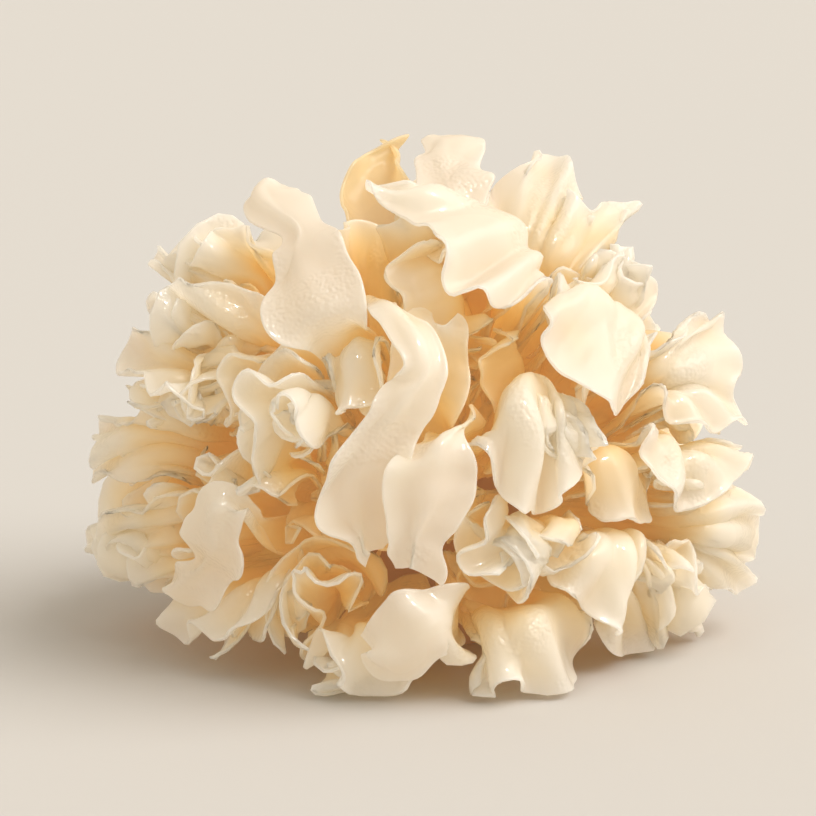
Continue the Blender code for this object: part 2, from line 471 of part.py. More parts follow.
def grown(targets):
    """The grids after all the fronds have grown from buds together, each kept clear of its neighbours."""
    names = list(targets)
    target = [targets[n] for n in names]
    origin = [t[:, 0].mean(axis=0) for t in target]
    shift = [np.zeros_like(t) for t in target]
    maps = [(between(t.shape[0], spacing(t, 0)), between(t.shape[1], spacing(t, 1))) for t in target]
    clear = np.concatenate([
        np.tile(np.minimum(CLEAR_AT_RIM, np.linspace(CLEAR_AT_ROOT, CLEAR_AT_RIM + 1.5, len(mv))), len(mu))
        for mu, mv in maps
    ])
    counts = [len(mu) * len(mv) for mu, mv in maps]
    owner = np.repeat(np.arange(len(names)), counts)
    edges = np.cumsum(counts)[:-1]
    for step in range(STEPS + REST_STEPS):
        size = min(1.0, FIRST_SIZE + (1 - FIRST_SIZE) * (step + 1) / STEPS)
        place = [o + size * (t - o) + s for o, t, s in zip(origin, target, shift)]
        cloud = [np.einsum("au,uvc,bv->abc", mu, p, mv).reshape(-1, 3) for p, (mu, mv) in zip(place, maps)]
        cloud = np.concatenate(cloud)
        if step % LOOK_EVERY == 0:
            near_i, near_j = close_pairs(cloud, owner, CLEAR_AT_RIM + MARGIN)
        i, j = near_i, near_j
        gap = cloud[i] - cloud[j]
        distance = np.linalg.norm(gap, axis=1)
        short = 0.5 * (clear[i] + clear[j]) - distance
        i, j, gap, distance, short = (each[short > 0] for each in (i, j, gap, distance, short))
        push = gap * (0.5 * short / np.maximum(distance, 0.05))[:, None]
        total = totals(i, push, len(cloud)) - totals(j, push, len(cloud))
        hits = np.bincount(i, minlength=len(cloud)) + np.bincount(j, minlength=len(cloud))
        total = np.split(total / np.maximum(hits, 1)[:, None], edges)
        touched = np.split((hits > 0).astype(float), edges)
        for k, (mu, mv) in enumerate(maps):
            shape = (len(mu), len(mv))
            push = np.einsum("au,abc,bv->uvc", mu, total[k].reshape(*shape, 3), mv)
            weight = np.einsum("au,ab,bv->uv", mu, touched[k].reshape(shape), mv)[..., None]
            shift[k] += 1.5 * push / (weight + 0.3)
            shift[k] = smoothed(shift[k]) * (0.985 if step < STEPS else 1.0)
            now = origin[k] + size * (target[k] - origin[k]) + shift[k]
            direction = unit(now - BASE_CENTRE)
            inside = base_reach(direction) + 2.0 - np.linalg.norm(now - BASE_CENTRE, axis=-1)
            now[:, 1:] += (direction * np.maximum(inside, 0)[..., None])[:, 1:]
            now[:, 0] = on_base(now[:, 0])
            now[..., 2] = np.maximum(now[..., 2], LOWEST_MIDDLE)
            shift[k] = now - origin[k] - size * (target[k] - origin[k])
    return {n: t + s for n, t, s in zip(names, target, shift)}


def new_material(name, colour, roughness):
    """A Principled material, with the part's colour and finish."""
    material = bpy.data.materials.new(name)
    material.use_nodes = True
    shader = material.node_tree.nodes["Principled BSDF"]
    shader.inputs["Base Color"].default_value = (*colour, 1.0)
    shader.inputs["Roughness"].default_value = roughness
    shader.inputs["Metallic"].default_value = 0.0
    return material


def new_object(name, vertices, faces, material):
    mesh = bpy.data.meshes.new(name)
    mesh.from_pydata([tuple(v) for v in np.asarray(vertices) * MM], [], faces)
    mesh.materials.append(material)
    mesh.shade_smooth()
    made = bpy.data.objects.new(name, mesh)
    bpy.context.scene.collection.objects.link(made)
    return made


def frond(name, net, material):
    """One frond: a sheet on its grid, given its thickness equally on both sides."""
    columns, rows = net.shape[:2]
    index = np.arange(columns * rows).reshape(columns, rows)
    faces = [
        (index[u, v], index[u + 1, v], index[u + 1, v + 1], index[u, v + 1])
        for u in range(columns - 1)
        for v in range(rows - 1)
    ]
    made = new_object(name, net.reshape(-1, 3), faces, material)
    wall = made.modifiers.new("wall", "SOLIDIFY")
    wall.thickness = SHEET * MM
    wall.offset = 0.0
    return made


def base(material):
    """The base: rings of the lumpy egg from its top down to the flat cut."""
    cut = math.asin(BASE_CENTRE[2] / BASE_RADII[2])
    heights = np.linspace(math.pi / 2, -cut, BASE_RINGS + 1)[1:]
    turns = np.arange(BASE_SIDES) * 2 * math.pi / BASE_SIDES
    rings = []
    for height in heights:
        oval = np.stack([np.cos(turns) * math.cos(height), np.sin(turns) * math.cos(height)], axis=-1)
        points = np.column_stack([oval * BASE_RADII[:2], np.full(BASE_SIDES, math.sin(height) * BASE_RADII[2])])
        direction = unit(points)
        rings.append(BASE_CENTRE + direction * base_reach(direction)[:, None])
    rings[-1][:, 2] = 0.0
    top = BASE_CENTRE + [0, 0, BASE_RADII[2]]
    vertices = [top, *np.concatenate(rings)]
    faces = []
    for s in range(BASE_SIDES):
        following = (s + 1) % BASE_SIDES
        faces.append((0, 1 + s, 1 + following))
        for ring in range(BASE_RINGS - 1):
            upper, lower = 1 + ring * BASE_SIDES, 1 + (ring + 1) * BASE_SIDES
            faces.append((upper + s, lower + s, lower + following, upper + following))
    last = 1 + (BASE_RINGS - 1) * BASE_SIDES
    faces.append(tuple(last + s for s in reversed(range(BASE_SIDES))))
    return new_object("base", vertices, faces, material)


def main():
    for existing in list(bpy.data.objects):
        bpy.data.objects.remove(existing)
    base(new_material("base", (0.72, 0.47, 0.20), 0.55))
    for name, net in grown(nets()).items():
        frond(name, net, new_material(name, (0.90, 0.83, 0.68), 0.35))


main()
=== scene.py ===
"""Looks of the snow fungus: a dome of wet, thin, frilled jelly fronds on a short base, cut flat where it grew."""

import math

import bpy
import numpy as np
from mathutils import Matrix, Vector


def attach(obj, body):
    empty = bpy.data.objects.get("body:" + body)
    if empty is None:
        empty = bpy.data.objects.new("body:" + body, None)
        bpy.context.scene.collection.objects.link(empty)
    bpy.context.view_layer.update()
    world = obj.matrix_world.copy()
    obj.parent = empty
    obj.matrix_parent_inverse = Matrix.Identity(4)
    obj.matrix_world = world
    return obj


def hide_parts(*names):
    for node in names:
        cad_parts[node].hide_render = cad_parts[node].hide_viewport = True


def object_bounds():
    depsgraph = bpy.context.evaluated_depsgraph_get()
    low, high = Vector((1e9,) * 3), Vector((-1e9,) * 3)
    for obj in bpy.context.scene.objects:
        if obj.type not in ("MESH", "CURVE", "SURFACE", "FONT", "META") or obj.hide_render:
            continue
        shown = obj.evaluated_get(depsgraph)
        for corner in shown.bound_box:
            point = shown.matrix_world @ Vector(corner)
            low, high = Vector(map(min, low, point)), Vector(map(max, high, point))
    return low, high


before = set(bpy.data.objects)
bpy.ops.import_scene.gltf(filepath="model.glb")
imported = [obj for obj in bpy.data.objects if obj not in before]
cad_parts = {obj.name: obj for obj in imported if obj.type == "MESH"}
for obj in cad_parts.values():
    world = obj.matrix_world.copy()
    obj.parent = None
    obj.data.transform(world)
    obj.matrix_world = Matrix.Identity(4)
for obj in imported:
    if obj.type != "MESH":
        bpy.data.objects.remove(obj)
cad_low, cad_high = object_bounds()

# Base
# The holdfast is a short egg of tough amber jelly in the middle, which every frond grows out of. It is cut off flat
# beneath, where it sat on its wood, and its skin has low lumps and fine pores. Lengths are in millimetres until a
# mesh is made, and noises are given by their cells in a metre.
MM = 0.001
BASE_CENTRE = np.array([0.0, 0.0, 20.0])
BASE_RADII = np.array([22.0, 21.0, 28.0])
BASE_LUMP = 0.05
LUMPS_ROUND = 5
LUMP_TWIST = 3
PORE = 0.006
PORE_WAVES = ([27.0, 45.0, 36.0], [55.0, -22.0, 33.0])
BASE_AROUND = 96
BASE_DOWN = 60
CUT_RINGS = 7
BASE_DEEP = 0.8
SKIN_SOCKETS = (
    ("INPUT", "Color", ("Rim", "Flesh", "Deep")),
    ("INPUT", "Float", ("Crease", "Grain")),
    ("OUTPUT", "Color", ("Colour",)),
    ("OUTPUT", "Float", ("Roughness", "Height")),
)
CLOUDS = 110.0
CLOUD_SHARE = 0.5
WRINKLES = 300.0
PEBBLES = 1500.0
PATCHES = 80.0
# Ramp of the amber with depth: painted shade in the fronds' folds, and the base's own tone on the holdfast.
AMBER_RAMP = (0.25, 1.15)
PEBBLED_RAMP = (0.54, 0.62)
GLOSS_RAMP = (0.35, 0.65, 0.38, 0.18)
GEL_IOR = 1.4
WET_COAT = 0.5
WET_ROUGHNESS = 0.08
SCATTERED_THROUGH = 0.65
# Painted glow: a faint warm light given off by all the jelly, which is no lamp, warming its shade most.
PAINTED_GLOW_COLOUR = (0.95, 0.78, 0.54, 1)
PAINTED_GLOW_STRENGTH = 0.14


def unit(vector):
    """The vectors divided by their lengths."""
    return vector / np.maximum(np.linalg.norm(vector, axis=-1, keepdims=True), 1e-12)


def base_reach(direction):
    """How far the base's surface is from its centre along unit directions: an ellipsoid with low lumps round it."""
    plain = 1 / np.linalg.norm(direction / BASE_RADII, axis=-1)
    angle = np.arctan2(direction[..., 1], direction[..., 0])
    flat = 1 - direction[..., 2] ** 2
    return plain * (1 + BASE_LUMP * flat * np.sin(LUMPS_ROUND * angle + LUMP_TWIST * direction[..., 2]))


def base_rings(around, down):
    """Rings of the egg from its top down to the cut, at even angles, then in over the flat cut to its middle."""
    cut = math.asin(BASE_CENTRE[2] / BASE_RADII[2])
    height = np.linspace(math.pi / 2, -cut, down)[:, None]
    turn = np.linspace(0, 2 * math.pi, around, endpoint=False)[None, :]
    level = np.broadcast_to(np.sin(height), (down, around))
    egg = np.stack([np.cos(turn) * np.cos(height), np.sin(turn) * np.cos(height), level], axis=-1) * BASE_RADII
    direction = unit(egg)
    pores = PORE * np.sin(direction @ PORE_WAVES[0]) * np.sin(direction @ PORE_WAVES[1])
    skin = BASE_CENTRE + direction * (base_reach(direction) * (1 + pores))[..., None]
    skin[-1, :, 2] = 0.0
    inward = np.linspace(1, 0, CUT_RINGS + 1)[1:, None, None]
    return np.concatenate([skin, skin[-1:] * inward])


def placed(name, data):
    """A new object of the scene with this mesh, light or camera."""
    made = bpy.data.objects.new(name, data)
    bpy.context.scene.collection.objects.link(made)
    return made


def jelly_piece(name, points, quads, triangles, values):
    """A smooth object from points in millimetres, its four- and three-cornered faces, and named values a point."""
    mesh = bpy.data.meshes.new(name)
    mesh.vertices.add(len(points))
    mesh.vertices.foreach_set("co", np.asarray(points * MM, np.float32).ravel())
    corners = np.concatenate([quads.ravel(), triangles.ravel()])
    starts = np.concatenate([np.arange(len(quads)) * 4, quads.size + np.arange(len(triangles)) * 3])
    mesh.loops.add(len(corners))
    mesh.loops.foreach_set("vertex_index", corners.astype(np.int32))
    mesh.polygons.add(len(starts))
    mesh.polygons.foreach_set("loop_start", starts.astype(np.int32))
    mesh.update(calc_edges=True)
    for label, amounts in values.items():
        mesh.attributes.new(label, "FLOAT", "POINT").data.foreach_set("value", np.asarray(amounts, np.float32))
    mesh.shade_smooth()
    return placed(name, mesh)


def fed(tree, made, inputs):
    """The node with each of its inputs, by name or number, given a value or another node's output."""
    for place, value in inputs.items():
        if isinstance(value, bpy.types.NodeSocket):
            tree.links.new(value, made.inputs[place])
        else:
            made.inputs[place].default_value = value
    return made


def node(tree, kind, inputs, **settings):
    """A new shader node with its settings and inputs."""
    made = tree.nodes.new(kind)
    for label, value in settings.items():
        setattr(made, label, value)
    return fed(tree, made, inputs)


def ramp(tree, value, start, stop, low=0.0, high=1.0):
    """Output that goes smoothly from low to high as the value goes from start to stop."""
    inputs = {"Value": value, "From Min": start, "From Max": stop, "To Min": low, "To Max": high}
    return node(tree, "ShaderNodeMapRange", inputs, interpolation_type="SMOOTHSTEP").outputs["Result"]


def worked(tree, operation, *values):
    """Output of a sum or product of the values."""
    return node(tree, "ShaderNodeMath", dict(enumerate(values)), operation=operation).outputs[0]


def blend_of(tree, factor, one, other):
    """Colour that goes from one to the other with the factor."""
    return node(tree, "ShaderNodeMix", {0: factor, 6: one, 7: other}, data_type="RGBA").outputs[2]


def noise(tree, place, scale):
    """Soft plain noise, 0 to 1, over the piece's own coordinates."""
    return node(tree, "ShaderNodeTexNoise", {"Vector": place, "Scale": scale, "Detail": 0.0}).outputs["Fac"]


def jelly_skin():
    """Group of wet jelly: pale rims (painted light) to amber depths (painted shade), patchy gloss, wrinkle and pebble
    height.
    """
    group = bpy.data.node_groups.new("jelly_skin", "ShaderNodeTree")
    for way, kind, labels in SKIN_SOCKETS:
        for label in labels:
            group.interface.new_socket(label, in_out=way, socket_type="NodeSocket" + kind)
    given = node(group, "NodeGroupInput", {}).outputs
    place = node(group, "ShaderNodeTexCoord", {}).outputs["Object"]
    deep = node(group, "ShaderNodeAttribute", {}, attribute_name="deep").outputs["Fac"]
    rim = node(group, "ShaderNodeAttribute", {}, attribute_name="rim").outputs["Fac"]
    cloud, wrinkle, pebble, patch = (noise(group, place, scale) for scale in (CLOUDS, WRINKLES, PEBBLES, PATCHES))
    # Painted shade: amber with depth, clouded at random; painted light: pale towards the rims.
    clouded = worked(group, "MULTIPLY_ADD", cloud, CLOUD_SHARE, deep)
    inside = blend_of(group, ramp(group, clouded, *AMBER_RAMP), given["Flesh"], given["Deep"])
    colour = blend_of(group, rim, inside, given["Rim"])
    pebbles = worked(group, "MULTIPLY", pebble, given["Grain"])
    pebbled = worked(group, "MULTIPLY", ramp(group, patch, *PEBBLED_RAMP), pebbles)
    wrinkled = worked(group, "MULTIPLY", wrinkle, given["Crease"])
    height = worked(group, "ADD", pebbled, wrinkled)
    gloss = ramp(group, patch, *GLOSS_RAMP)
    node(group, "NodeGroupOutput", {"Colour": colour, "Roughness": gloss, "Height": height})
    return group


JELLY_SKIN = jelly_skin()


def jelly(name, rim, flesh, deep, crease, grain):
    """Wet jelly: most light is scattered on through it, a faint painted glow warms its shade, and its skin shines."""
    material = bpy.data.materials.new(name)
    material.use_nodes = True
    tree = material.node_tree
    looks = {"Rim": (*rim, 1), "Flesh": (*flesh, 1), "Deep": (*deep, 1), "Crease": crease, "Grain": grain}
    skin = node(tree, "ShaderNodeGroup", looks, node_tree=JELLY_SKIN).outputs
    bump = node(tree, "ShaderNodeBump", {"Height": skin["Height"], "Strength": 1.0, "Distance": MM})
    shader = fed(tree, tree.nodes["Principled BSDF"], {
        "Base Color": skin["Colour"],
        "Roughness": skin["Roughness"],
        "Normal": bump.outputs["Normal"],
        "IOR": GEL_IOR,
        "Coat Weight": WET_COAT,
        "Coat Roughness": WET_ROUGHNESS,
        # Painted glow: the jelly gives off a faint warm light of its own, most telling in its shade.
        "Emission Color": PAINTED_GLOW_COLOUR,
        "Emission Strength": PAINTED_GLOW_STRENGTH,
    })
    through = node(tree, "ShaderNodeBsdfTranslucent", {"Color": skin["Colour"]}).outputs["BSDF"]
    both = node(tree, "ShaderNodeMixShader", {0: SCATTERED_THROUGH, 1: shader.outputs["BSDF"], 2: through})
    fed(tree, tree.nodes["Material Output"], {"Surface": both.outputs["Shader"]})
    return material


rings = base_rings(BASE_AROUND, BASE_DOWN)
points = np.concatenate([rings[0, :1], rings[1:-1].reshape(-1, 3), rings[-1, :1]])
ring = 1 + np.arange(len(points) - 2).reshape(-1, BASE_AROUND)
next_round = np.roll(ring, -1, axis=1)
quads = np.stack([ring[:-1], ring[1:], next_round[1:], next_round[:-1]], axis=-1).reshape(-1, 4)
top = np.stack([np.zeros_like(ring[0]), ring[0], next_round[0]], axis=-1)
bottom = np.stack([np.full_like(ring[0], len(points) - 1), next_round[-1], ring[-1]], axis=-1)
values = {"deep": np.full(len(points), BASE_DEEP), "rim": np.zeros(len(points))}
holdfast = jelly_piece("holdfast", points, quads, np.concatenate([top, bottom]), values)
holdfast_jelly = jelly("holdfast_jelly", (0.86, 0.66, 0.36), (0.80, 0.56, 0.27), (0.66, 0.38, 0.13), 0.5, 0.1)
holdfast.data.materials.append(holdfast_jelly)
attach(holdfast, "root")
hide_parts("base")

# Leaves
# The long narrow fronds at the front and on top: ribbons, the swan neck, the tongue and the upright leaves. Each is
# one tapering sheet of jelly that leaves the base by a narrow root. Its two free edges run from root to tip, given
# as across, up and inset behind the dome's front for each point. Its middle bows out by the number after them.
LEAVES = {}
LEAVES["ribbon"] = [
    -16, 60, 14, -21, 64.7, 4, -24, 65.2, 2, -26.3, 68, 1, -26.8, 72, 1, -26.5, 76, 1, -24.5, 79.5, 1, -23.2, 82, 2,
    -24, 84.2, 2, -26.5, 86, 2, -28.7, 88.5, 2, -28.6, 90.5, 2, -26.5, 92.5, 2,
], [
    -6, 66, 14, -9, 71.5, 4, -9.5, 73.5, 3, -11, 76.8, 3, -14, 80, 3, -16.5, 81.5, 3, -17.3, 84, 3, -19, 86.6, 3,
    -22, 88.3, 3, -24, 90.3, 3, -26, 92.7, 3,
], 3.0
LEAVES["swan_neck"] = [
    -11, 71.5, 10, -8, 69.5, 1, -6.3, 67.5, -1, -6.3, 65, -2, -4, 62.5, -3, -2.5, 60.5, -3, -2.3, 58, -3,
    -4.5, 55.7, -3, -8, 54.3, -3, -10.5, 51.5, -3, -14, 48.7, -3, -17, 45, -3, -19, 40.5, -3, -20.3, 37, -2,
    -18.5, 33, -2, -15, 30.6, -2, -12.3, 29.6, -2, -12.4, 27.4, -2, -10.2, 26.3, -1,
], [
    -7, 71, 12, -3, 69.5, 4, 0, 67.5, 2, 1.2, 64, 0, 1.5, 60, -1, 1.2, 56, -1, 1, 52, -1, -0.5, 48.5, 0,
    -3, 44.5, 0, -5, 40, 1, -6, 35, 1, -7.5, 32.5, 1, -9, 29.5, 1, -8.7, 27.3, 1,
], 2.0
LEAVES["heart_back"] = [
    -6, 50, 16, -6, 58, 8, -5.5, 64, 6, -4, 67.5, 4, 0, 68.2, 3,
], [
    8, 48, 14, 8.6, 54, 6, 8.7, 58, 5, 8, 62, 5, 6, 66, 4, 3.5, 68.3, 3,
], 2.0
LEAVES["tongue"] = [
    4, 48, 14, -0.5, 44.6, 2, -3, 43.9, 1, -5.2, 42.6, -1, -6.8, 40, -2, -6.9, 37, -3, -5.2, 33, -3, -4, 30.5, -3,
    -2.9, 27, -3, -2.4, 25, -3,
], [
    14, 50, 14, 12, 51.3, 3, 9, 49, 1, 9, 45, 0, 9.4, 41, 0, 8.9, 38, -1, 7.3, 35, -2, 4.8, 31.8, -3, 2, 29.2, -3,
    0.3, 26, -3, -0.8, 24.4, -3,
], 3.0
LEAVES["oyster"] = [
    9, 21, 8, 6, 21.3, -2, 2, 21, -4, -2, 20, -5, -5.5, 17.7, -5, -8.3, 14.5, -6, -9.2, 11.5, -6,
], [
    10, 12, 8, 7.3, 9, -5, 5.5, 10.8, -7, 3.3, 10.2, -8, 1, 8.5, -8, -1.5, 7.1, -8, -4.5, 7.2, -8, -7.3, 8.6, -7,
    -9, 10.5, -6,
], 4.0
LEAVES["tan_leaf"] = [
    -8, 76, 34, -13, 84, 34, -15, 90.5, 34, -14, 95, 34, -11, 98.5, 34, -7, 101, 34, -5, 102.4, 34,
], [
    2, 76, 34, 2, 84, 34, 0.5, 91, 34, -1.5, 95, 34, -3, 98, 34, -3.8, 101, 34, -4.6, 102.4, 34,
], -2.0
LEAVES["column"] = [
    -1, 78, 20, 0.3, 88, 18, 0.3, 94, 18, 0.3, 98, 18, 1.5, 101.3, 18, 4, 102, 18,
], [
    12, 78, 20, 11, 88, 18, 9.6, 93, 18, 9.2, 97.5, 18, 8.4, 101.2, 18, 5, 102, 18,
], 3.0
LEAVES["left_ribbon"] = [
    -29, 34, 10, -33.5, 38.3, 2, -36.5, 37.2, 1, -38, 33.5, 1, -38.7, 30, 1, -40, 27, 2, -41.7, 23.7, 3, -44, 21, 4,
], [
    -25, 28, 12, -29.5, 35.5, 2, -31.5, 33, 1, -32.5, 29.7, 1, -31.7, 26.5, 1, -33, 24, 2, -36, 22, 3, -41, 20, 4,
], 3.0
VIEW_TILT = math.radians(10.0)
VIEW_DISTANCE = 433.0
VIEW_ACROSS = -2.2
VIEW_UP = 53.5
VIEW_HEIGHT = 41.0
DOME_RADII = (62.0, 52.0, 60.0)
DOME_UP = 46.0
ROOT_GAP = 1.0
ROOT_HALF_WIDTH = 4.4
ROOT_ROWS = 2
LEAF_ROWS = 10
CURVE_STEPS = 200


def dome_depth(across, up):
    """Depth along +Y of the front of an ellipsoid at a place of the front view."""
    wide, deep, high = DOME_RADII
    return -deep * np.sqrt(np.maximum(0, 1 - (across / wide) ** 2 - ((up - DOME_UP) / high) ** 2))


def from_front(line):
    """Real places of a line of the front view: its perspective and tilt, taken back at each point's depth."""
    across, up, inset = np.asarray(line, float).reshape(-1, 3).T
    depth = dome_depth(across, up) + inset
    cos, sin = math.cos(VIEW_TILT), math.sin(VIEW_TILT)
    rise = up - VIEW_UP
    high = (rise * (VIEW_DISTANCE + depth * cos) - VIEW_DISTANCE * depth * sin) / (VIEW_DISTANCE * cos + rise * sin)
    nearer = VIEW_DISTANCE / (VIEW_DISTANCE + depth * cos - high * sin)
    return np.stack([VIEW_ACROSS + (across - VIEW_ACROSS) / nearer, depth, VIEW_HEIGHT + high], axis=-1)


def on_base(points):
    """The points moved along their direction from the base's centre to just clear of its surface."""
    direction = unit(points - BASE_CENTRE)
    return BASE_CENTRE + direction * (base_reach(direction) + ROOT_GAP)[..., None]


def shares_of(at, count):
    """The first of the four knots about each parameter, 0 to 1, and the share of each in a Catmull-Rom curve."""
    place = np.clip(np.asarray(at) * (count - 1), 0, count - 1 - 1e-9)
    cell = place.astype(int)
    t = place - cell
    return cell, (
        0.5 * t * (-1 + t * (2 - t)),
        1 + 0.5 * t * t * (3 * t - 5),
        0.5 * t * (1 + t * (4 - 3 * t)),
        0.5 * t * t * (t - 1),
    )


def spline(knots, at):
    """Points at the parameters, 0 to 1, of the smooth curve through equally spaced knots on the first axis."""
    knots = np.asarray(knots, float)
    ends = np.concatenate([2 * knots[:1] - knots[1:2], knots, 2 * knots[-1:] - knots[-2:-1]])
    cell, shares = shares_of(at, len(knots))
    shape = (-1,) + (1,) * (knots.ndim - 1)
    return sum(ends[cell + n] * share.reshape(shape) for n, share in enumerate(shares))


def along(knots, shares):
    """Points at shares of the length, 0 to 1, of the curve through the knots."""
    fine = spline(knots, np.linspace(0, 1, CURVE_STEPS))
    run = np.concatenate([[0], np.cumsum(np.linalg.norm(np.diff(fine, axis=0), axis=1))])
    return np.stack([np.interp(shares * run[-1], run, fine[:, axis]) for axis in range(3)], axis=1)


def root_of(start, wide):
    """The root's line on the base: below the frond's start and along its width, from one end to the other."""
    middle = on_base(start * 0.5 + BASE_CENTRE * 0.5)
    outward = unit(middle - BASE_CENTRE)
    lean = unit(wide - outward * np.dot(wide, outward)) * ROOT_HALF_WIDTH
    return on_base(middle - lean), on_base(middle + lean)


def leaf_net(edges, columns, rows):
    """Grid of a leaf: bowed lines across between its edges, which run as splines from the root and then as traced."""
    *lines, bow = edges
    lines = [from_front(line) for line in lines]
    roots = root_of((lines[0][0] + lines[1][0]) / 2, lines[1][0] - lines[0][0])
    place = np.linspace(0, LEAF_ROWS - 1, rows)
    made = []
    for line, root in zip(lines, roots):
        coarse = along(line, np.linspace(0, 1, LEAF_ROWS - ROOT_ROWS))
        rooted = spline([root, (root + coarse[0]) / 2, *coarse], place / (LEAF_ROWS - 1))
        traced = along(line, np.clip((place - ROOT_ROWS) / (LEAF_ROWS - ROOT_ROWS - 1), 0, 1))
        made.append(np.where(place[:, None] < ROOT_ROWS, rooted, traced))
    u = np.linspace(0, 1, columns)[:, None, None]
    out = unit((made[0] + made[1]) / 2 - BASE_CENTRE) * bow * np.minimum(1, place / 3)[:, None]
    return made[0] * (1 - u) + made[1] * u + out * 4 * u * (1 - u)


# Fans
# The broad fronds that the front shows: from its root each spreads out to a shoulder and folds over it to a frilled
# rim, as the crown, the arch, the peak, the lip, the apron and the saucer do. Only the root is fixed. A fan is
# given by its rim and by the shoulder it hangs or stands from, both from the same end, in points as a leaf's.
FANS = {}
FANS["peak"] = [
    9.3, 41, 0, 10.2, 37.6, 0, 12.5, 36.8, 0, 15, 35.9, 0, 17.5, 36.8, 0, 20, 36.2, 0, 23, 36.8, 0, 26, 38.7, 0,
    27.6, 42, 0, 27.2, 45.5, 1, 29, 47.5, 2, 31.5, 47.3, 2, 33.8, 45.6, 3,
], [
    8.5, 49.5, 1, 12, 53, 0, 14.5, 57, -1, 18, 61, 0, 21, 62.5, 1, 24, 61, 1, 25.3, 57, 0, 26, 53, 0, 29, 50, 1,
    33, 48.5, 3,
]
FANS["left_cheek"] = [
    -17, 64, 2, -19, 64.3, 1, -22, 63.6, 0, -26, 62.6, 0, -30, 60.7, 0, -31.8, 57, 0, -32, 52, 0, -31.5, 48.5, 0,
    -30.5, 45, 0, -31.5, 41.5, 0, -33, 38.5, 0, -31.5, 36.6, 0, -29, 37.2, 0, -26.5, 39.2, 0, -23, 39.4, 1,
    -20.5, 38, 2,
], [
    -15, 58, 8, -21, 57, 7, -24, 53, 7, -24, 48, 8, -22, 44, 9, -19, 42, 10,
]
FANS["arch"] = [
    -12, 48.5, -1, -15, 48.6, -2, -18, 50.3, -2, -20, 53, -2, -22.5, 55.8, -2, -25, 56.4, -1, -27.2, 54.5, -1,
    -27, 51.5, -1, -26, 48, 0, -25.3, 44.5, 0, -26, 42, 1,
], [
    -14, 53, 6, -18, 55, 6, -21, 53, 6, -22, 50, 6, -21, 46, 7,
]
FANS["scroll_face"] = [
    -19, 52, 5, -15, 50, 5, -10, 53, 5, -6, 56, 4, -3, 59, 4,
], [
    -20, 62, 6, -13, 64, 7, -6, 66, 7,
]
FANS["crown"] = [
    1, 91.5, 8, -3, 92.5, 5, -6, 93.6, 4, -9, 93.2, 4, -10.5, 91, 3, -9.3, 88.9, 3, -6.5, 88.1, 3, -3, 87.2, 2,
    -0.5, 86, 1, 1, 84.5, 0, 1.7, 81, -1, 2.4, 78.3, -1, 4, 75, -1, 7, 72, -2, 10, 69.7, -2, 13, 68.5, -2,
    16, 68.3, -1, 18.7, 69.5, 0,
], [
    3, 90, 9, 0, 90.5, 6, -2, 90.3, 4, 1, 90, 3, 7, 91, 3, 12, 90.5, 3, 17, 87, 3, 21, 82, 3, 23, 76, 3,
]
FANS["under_crown"] = [
    -4, 84, 6, -5.8, 81, 6, -7, 77.5, 6, -7.3, 74, 6, -6.6, 70.8, 6, -5, 68.5, 7, 0, 67, 9, 5, 66, 10, 10, 64, 11,
], [
    3, 83, 10, 3, 78, 10, 4, 74, 10, 8, 71, 11, 13, 68, 12,
]
FANS["crown_left"] = [
    -3, 85, 20, -6, 87, 20, -10, 87.3, 20, -14, 86.8, 20, -17, 85, 20, -21, 88, 20, -25, 86.5, 20,
], [
    -5, 75, 24, -9, 76, 24, -13, 75, 24, -17, 74, 24, -21, 73, 22,
]
FANS["top_right"] = [
    11, 95.5, 20, 13.5, 98.3, 20, 17, 97.5, 20, 20, 99.4, 20, 23.5, 99, 20, 26, 97, 20, 27.7, 92.5, 20,
    27.5, 88.7, 18, 30.5, 89.3, 20, 34, 90, 20, 37.7, 89.5, 20, 39.3, 87.2, 20, 37, 85.2, 18, 35.2, 84, 16,
], [
    11, 86, 22, 15, 86, 20, 19, 86, 18, 22, 83, 17, 26, 80, 17, 29, 78, 17, 31, 75, 16,
]
FANS["right_brow"] = [
    21, 71.5, 2, 19.3, 68.5, 0, 18.8, 65, 0, 20, 61.7, 0, 22, 58, 0, 25, 54.8, 0, 28.3, 51.3, 0, 32, 49.9, 0,
    36, 50.6, 1, 39, 53, 2,
], [
    24, 76, 5, 26, 76, 4, 29, 75, 3, 33, 73, 3, 37, 70, 4, 41, 66, 6,
]
FANS["right_shoulder"] = [
    24, 79, 8, 27, 80.5, 8, 30, 79, 8, 33, 80, 9, 36, 83, 11, 36.2, 79, 10, 37.5, 77.3, 9, 41, 77, 10, 44, 74, 10,
    44.6, 70.3, 9,
], [
    25, 73, 14, 28, 73, 14, 32, 72, 14, 35, 70, 14, 38, 67, 14,
]
FANS["right_cheek"] = [
    44.6, 69.5, 6, 48, 70, 6, 52, 72, 7, 54, 69, 6, 54.8, 65, 6, 56.7, 60, 5, 55.5, 57.5, 5, 56.5, 53, 5,
    57, 48.5, 5, 53, 47.5, 4, 49, 47.2, 3, 46, 48.5, 3, 43, 50, 3, 41, 53, 3,
], [
    40, 64, 10, 44, 63, 9, 47, 60, 8, 48, 56, 7, 46, 54, 6, 43, 54, 6,
]
FANS["right_jaw"] = [
    37.5, 50, 3, 37.4, 47, 1, 37.2, 44.8, 1, 39, 42, 0, 40.8, 38.5, 0, 42, 35.7, 0, 45, 35.2, 0, 48.5, 36, 1,
    52, 38, 2, 56, 40.5, 3, 59.5, 42.5, 5, 60, 45, 5, 58.5, 47.5, 5,
], [
    40, 48, 5, 43, 47, 4, 46, 45, 4, 49, 45, 4, 53, 46, 5,
]
